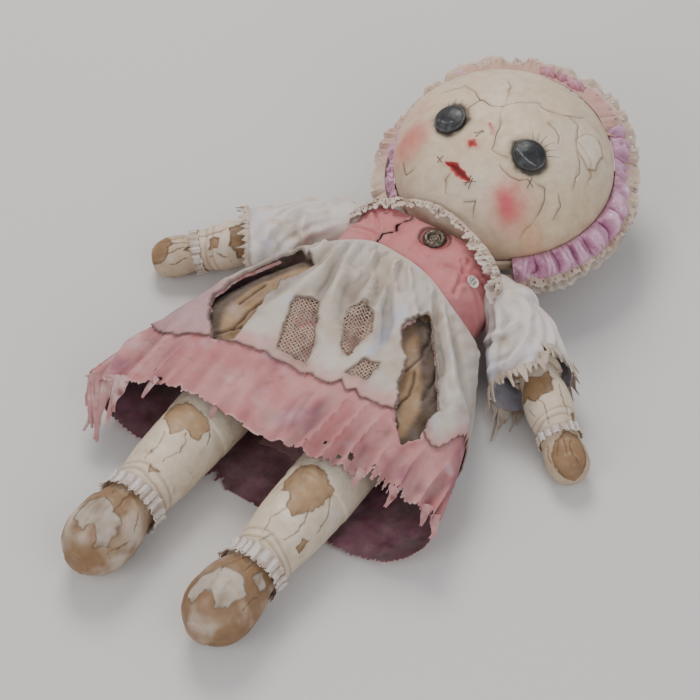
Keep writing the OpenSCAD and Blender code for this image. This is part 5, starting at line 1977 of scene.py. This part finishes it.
def make_lower_legs():
    """Both shins with their knees, feet and ankle frills."""
    for side, seed in (("left", 740), ("right", 840)):
        if side == "left":
            knee = [(52, 134), (66, 127), (98, 126), (122, 131), (131, 146), (118, 158), (104, 154),
                    (92, 168), (74, 172), (58, 160), (47, 148)]
            cracks = [[(92, 166), (100, 182), (94, 196)], [(60, 160), (50, 176), (58, 190)],
                      [(130, 148), (142, 160)], [(47, 140), (30, 150), (22, 166)], [(80, 192), (90, 204)]]
            extra = [(24, 176), (38, 180), (34, 190), (20, 186)]
        else:
            knee = [(44, 136), (70, 128), (104, 130), (132, 136), (128, 150), (108, 152), (86, 160),
                    (64, 152), (50, 150)]
            cracks = [[(108, 152), (118, 170), (110, 184)], [(50, 148), (38, 160), (42, 178)],
                      [(76, 160), (84, 176), (78, 190)], [(132, 138), (146, 146)], [(20, 140), (26, 160)]]
            extra = [(96, 190), (112, 192), (106, 200)]
        surface = skin([knee, extra], cracks, 27, seed, bare=(0.37, 0.235, 0.125),
                       creases=[(196, 0.7, 1.4), (203, 0.9, 1.2)])
        limb("shin_shell_", side, LEG_FRAME, SHIN_ROWS, surface, "shin_", "shin_")
        make_knee_skin(side, surface)
        tips = [[(50, 246), (76, 236), (104, 240), (128, 250), (140, 268), (118, 274), (96, 262),
                 (74, 272), (56, 264)]]
        tips.append([(20, 226), (44, 222), (58, 230), (36, 238)])
        marks = [[(70, 220), (78, 232)], [(100, 222), (110, 236), (104, 246)],
                 [(140, 228), (150, 244)], [(30, 240), (36, 258)], [(160, 250), (150, 268)]]
        surface = skin(tips, marks, 26, seed + 13, (0.245, 0.140, 0.068), (0.46, 0.40, 0.33))
        limb("foot_shell_", side, LEG_FRAME, FOOT_ROWS, surface, "shin_", "foot_")
        make_band("ankle_frill_", side, LEG_FRAME, 208, 222, 24.0, 2.4, 19, seed + 7, "shin_",
                  "ankle_lace_")


def make_band(name, side, frame_matrix, z0, z1, radius, flare, ruffles, seed, body, node):
    """A gathered strip of lace tied round a limb: pinched in the middle, ruffled at both edges."""
    nu, nv = ((760, 21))
    a = np.repeat(np.arange(nu) / nu * TAU, nv)
    v = np.tile(np.linspace(0, 1, nv), nu)
    q = np.column_stack([np.cos(a) * radius, np.sin(a) * radius, v * 0])
    phase = a * ruffles + 2.2 * noise(q, 11, seed)
    open_out = np.abs(v - 0.45) * 2
    edge = 0.9 * noise(q, 5, seed + 1)
    z = z0 + (z1 - z0) * v + (2 * v - 1) * edge + 0.5 * np.cos(phase) * open_out
    uneven = 0.6 + 0.8 * noise(q, 13, seed + 5)
    ruffle = np.sin(phase) * uneven + 0.4 * np.sin(2.3 * phase + v)
    r = (radius + 0.9 + flare * open_out**1.3 + (0.35 + 0.34 * flare * open_out) * ruffle
         + 0.6 * layered(q + np.column_stack([v * 0, v * 0, z]), 5, seed + 2))
    r = r + 0.8 * hump(v - 0.45, 0.10)
    local = np.column_stack([r * np.cos(a), r * np.sin(a), z])
    p = place(frame_matrix, local)
    quads = grid_faces(nu, nv, closed_u=True)
    normals = grid_normals(p, nu, nv, True)
    outward = (place(frame_matrix, np.column_stack([np.cos(a), np.sin(a), z * 0]))
               - place(frame_matrix, np.zeros((1, 3))))
    if (normals * outward).sum() < 0:
        normals, quads = -normals, quads[:, ::-1]
    p, normals, quads = on_side(side, p, normals, quads)
    p[:, 2] = np.maximum(p[:, 2], 0.5)
    mid_v = v[quads].mean(axis=1)
    hole = (np.abs(mid_v - 0.83) < 0.05) & (np.sin(phase[quads].mean(axis=1) * 2) > 0.45)
    bite = mid_v > 0.97 - 0.10 * (np.sin(phase[quads].mean(axis=1) * 1.5) > 0.3)
    tint = blend_colour(flat_colour(len(p), (0.70, 0.63, 0.57)), (0.52, 0.40, 0.33),
                        step(-0.1, 0.6, layered(p, 10, seed + 3)))
    # painted shade in the troughs of the ruffles, with dirt in patches
    tint = blend_colour(tint, (0.30, 0.19, 0.13), 0.65 * step(-0.2, -1.0, np.sin(phase))
                        + 0.4 * step(0.3, 0.8, layered(p, 5, seed + 4)))
    obj = shell(name + side, p, quads, normals, 0.6, LACEWORK, tint,
                uv=np.column_stack([a * radius, z]), keep=~(hole | bite))
    fit(obj, body + side, node + side)
    declare_cloth(z1 - z0)


# ------------------------------------------------------------------ hidden works that stay as CAD made them


def give(node, material):
    """A carried CAD node gets a finished material."""
    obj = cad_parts[node]
    for s in obj.material_slots:
        s.material = material
    if not obj.material_slots:
        obj.data.materials.append(material)


def plain_wood(name, colour, shine):
    """Wood for carried nodes, which have no painted tint of their own."""
    g = Graph(name)
    stretch = g.node("ShaderNodeMapping")
    stretch.inputs["Scale"].default_value = (1.0, 0.10, 1.0)
    g.link(g.coords(), stretch.inputs["Vector"])
    grain = g.noise(1.8, 5, 0.6, stretch.outputs["Vector"])
    dark = tuple(c * 0.35 for c in colour)
    tone = g.mix(g.ramp(grain, 0.35, 0.7, 0.0, 0.7), colour, dark)
    tone = g.mix(g.ramp(g.noise(4, 6, 0.7), 0.58, 0.74, 0.0, 0.5), tone, (0.07, 0.045, 0.03))
    g.add_height(grain, 0.12)
    g.add_height(g.noise(2.2, 5), 0.15)
    return g.finish(tone, g.ramp(grain, 0.3, 0.7, shine, shine + 0.2))


def plain_skin(name, colour, bare):
    """Old paint for carried nodes: stained, and rubbed through to the brown in patches."""
    g = Graph(name)
    worn = g.ramp(g.noise(19, 5, 0.62), 0.56, 0.60)
    rim = g.maths("MULTIPLY", g.ramp(g.noise(19, 5, 0.62), 0.53, 0.57), g.maths("SUBTRACT", 1.0, worn))
    stained = g.mix(g.ramp(g.noise(12, 4), 0.4, 0.7, 0.0, 0.5), colour, tuple(c * 0.62 for c in colour))
    tone = g.mix(worn, stained, g.mix(g.noise(6, 4), bare, tuple(c * 0.5 for c in bare)))
    tone = g.mix(g.maths("MULTIPLY", rim, 0.7), tone, (0.10, 0.06, 0.035))
    g.add_height(g.maths("SUBTRACT", 1.0, worn), 0.35)
    g.add_height(g.noise(5, 4), 0.4)
    g.add_height(g.noise(1.0, 3), 0.08)
    return g.finish(tone, g.ramp(g.noise(9, 3), 0.3, 0.7, 0.48, 0.7))


def finish_hidden_works():
    """Materials for the CAD nodes that stay as they are."""
    skin = plain_skin("worn_skin", (0.60, 0.48, 0.34), (0.36, 0.23, 0.12))
    for side in ("left", "right"):
        give("thigh_" + side, skin)
        give("upper_arm_" + side, skin)
    board = plain_wood("board_wood", (0.34, 0.21, 0.11), 0.62)
    stick = plain_wood("stick_wood", (0.40, 0.27, 0.15), 0.5)
    for node in ("chest_shell", "back_shell", "shoulder_board", "hip_board", "pelvis_block",
                 "shoulder_link_left", "shoulder_link_right"):
        give(node, board)
    for node in ("head_stick", "neck_block"):
        give(node, stick)
    for node in ("hip_axle", "board_screws", "neck_pin", "eye_washers"):
        give(node, STEEL)
    for side in ("left", "right"):
        for pin in ("shoulder_pin_", "elbow_pin_", "knee_pin_"):
            give(pin + side, STEEL)
    give("neck_ring", BRASS)
    give("stick_grip", LEATHER)


# ------------------------------------------------------------------ floor, light and camera


def make_stage():
    """A pale floor, a soft grey room and three soft lamps."""
    floor = make_piece(
        "floor", np.array([[-3000, -3000, 0], [3000, -3000, 0], [3000, 3000, 0], [-3000, 3000, 0]],
                          float) + [0, 0, -0.4],
        [(0, 1, 2, 3)], Graph("pale_floor").finish((0.62, 0.60, 0.58), 0.85),
    )
    world = bpy.data.worlds.new("studio")
    bpy.context.scene.world = world
    world.use_nodes = True
    world.node_tree.nodes["Background"].inputs["Color"].default_value = (0.93, 0.95, 1.0, 1)
    world.node_tree.nodes["Background"].inputs["Strength"].default_value = 0.52
    # name, place, size, power in watts, colour
    lights = [
        ("key", (-0.9, 0.9, 1.7), 0.9, 31, (1.0, 0.96, 0.91)),
        ("fill", (1.4, -0.6, 1.2), 1.3, 12, (0.93, 0.96, 1.0)),
        ("front", (-0.3, -1.5, 1.1), 1.0, 10, (1.0, 0.98, 0.96)),
    ]
    for name, place_at, size, power, colour in lights:
        data = bpy.data.lights.new(name, "AREA")
        data.size, data.energy, data.color = size, power, colour
        lamp = bpy.data.objects.new(name, data)
        lamp.location = place_at
        lamp.rotation_euler = (Vector((0, 0, 0.05)) - Vector(place_at)).to_track_quat("-Z", "Y").to_euler()
        bpy.context.scene.collection.objects.link(lamp)


CAMERA_AZIMUTH = 34.5
CAMERA_ELEVATION = 49.0
CAMERA_AWAY = 2.1
LOOK_AT = (0.001, -0.0225, 0.045)


def make_camera():
    """The photograph's view: from the feet's side, high up, a long way off with a long lens."""
    a, e = math.radians(CAMERA_AZIMUTH), math.radians(CAMERA_ELEVATION)
    back = Vector((math.sin(a) * math.cos(e), -math.cos(a) * math.cos(e), math.sin(e)))
    data = bpy.data.cameras.new("camera")
    data.lens, data.sensor_width = 135, 36
    camera = bpy.data.objects.new("camera", data)
    camera.location = Vector(LOOK_AT) + back * CAMERA_AWAY
    camera.rotation_euler = (-back).to_track_quat("-Z", "Y").to_euler()
    bpy.context.scene.collection.objects.link(camera)
    bpy.context.scene.camera = camera


make_camera()
make_stage()
make_face()
make_skull()
make_face_lines()
make_eyes()
make_bonnet_edge()
make_cap()
make_knot()
make_bodice()
make_fastenings()
make_collar()
make_skirts()
make_gauze()
make_shreds()
make_petticoat()
make_stuffing_cloth()
for arm_side in ("left", "right"):
    make_sleeve(arm_side)
    make_sleeve_head(arm_side)
    make_cuff_lace(arm_side)
make_forearms()
make_lower_legs()
finish_hidden_works()
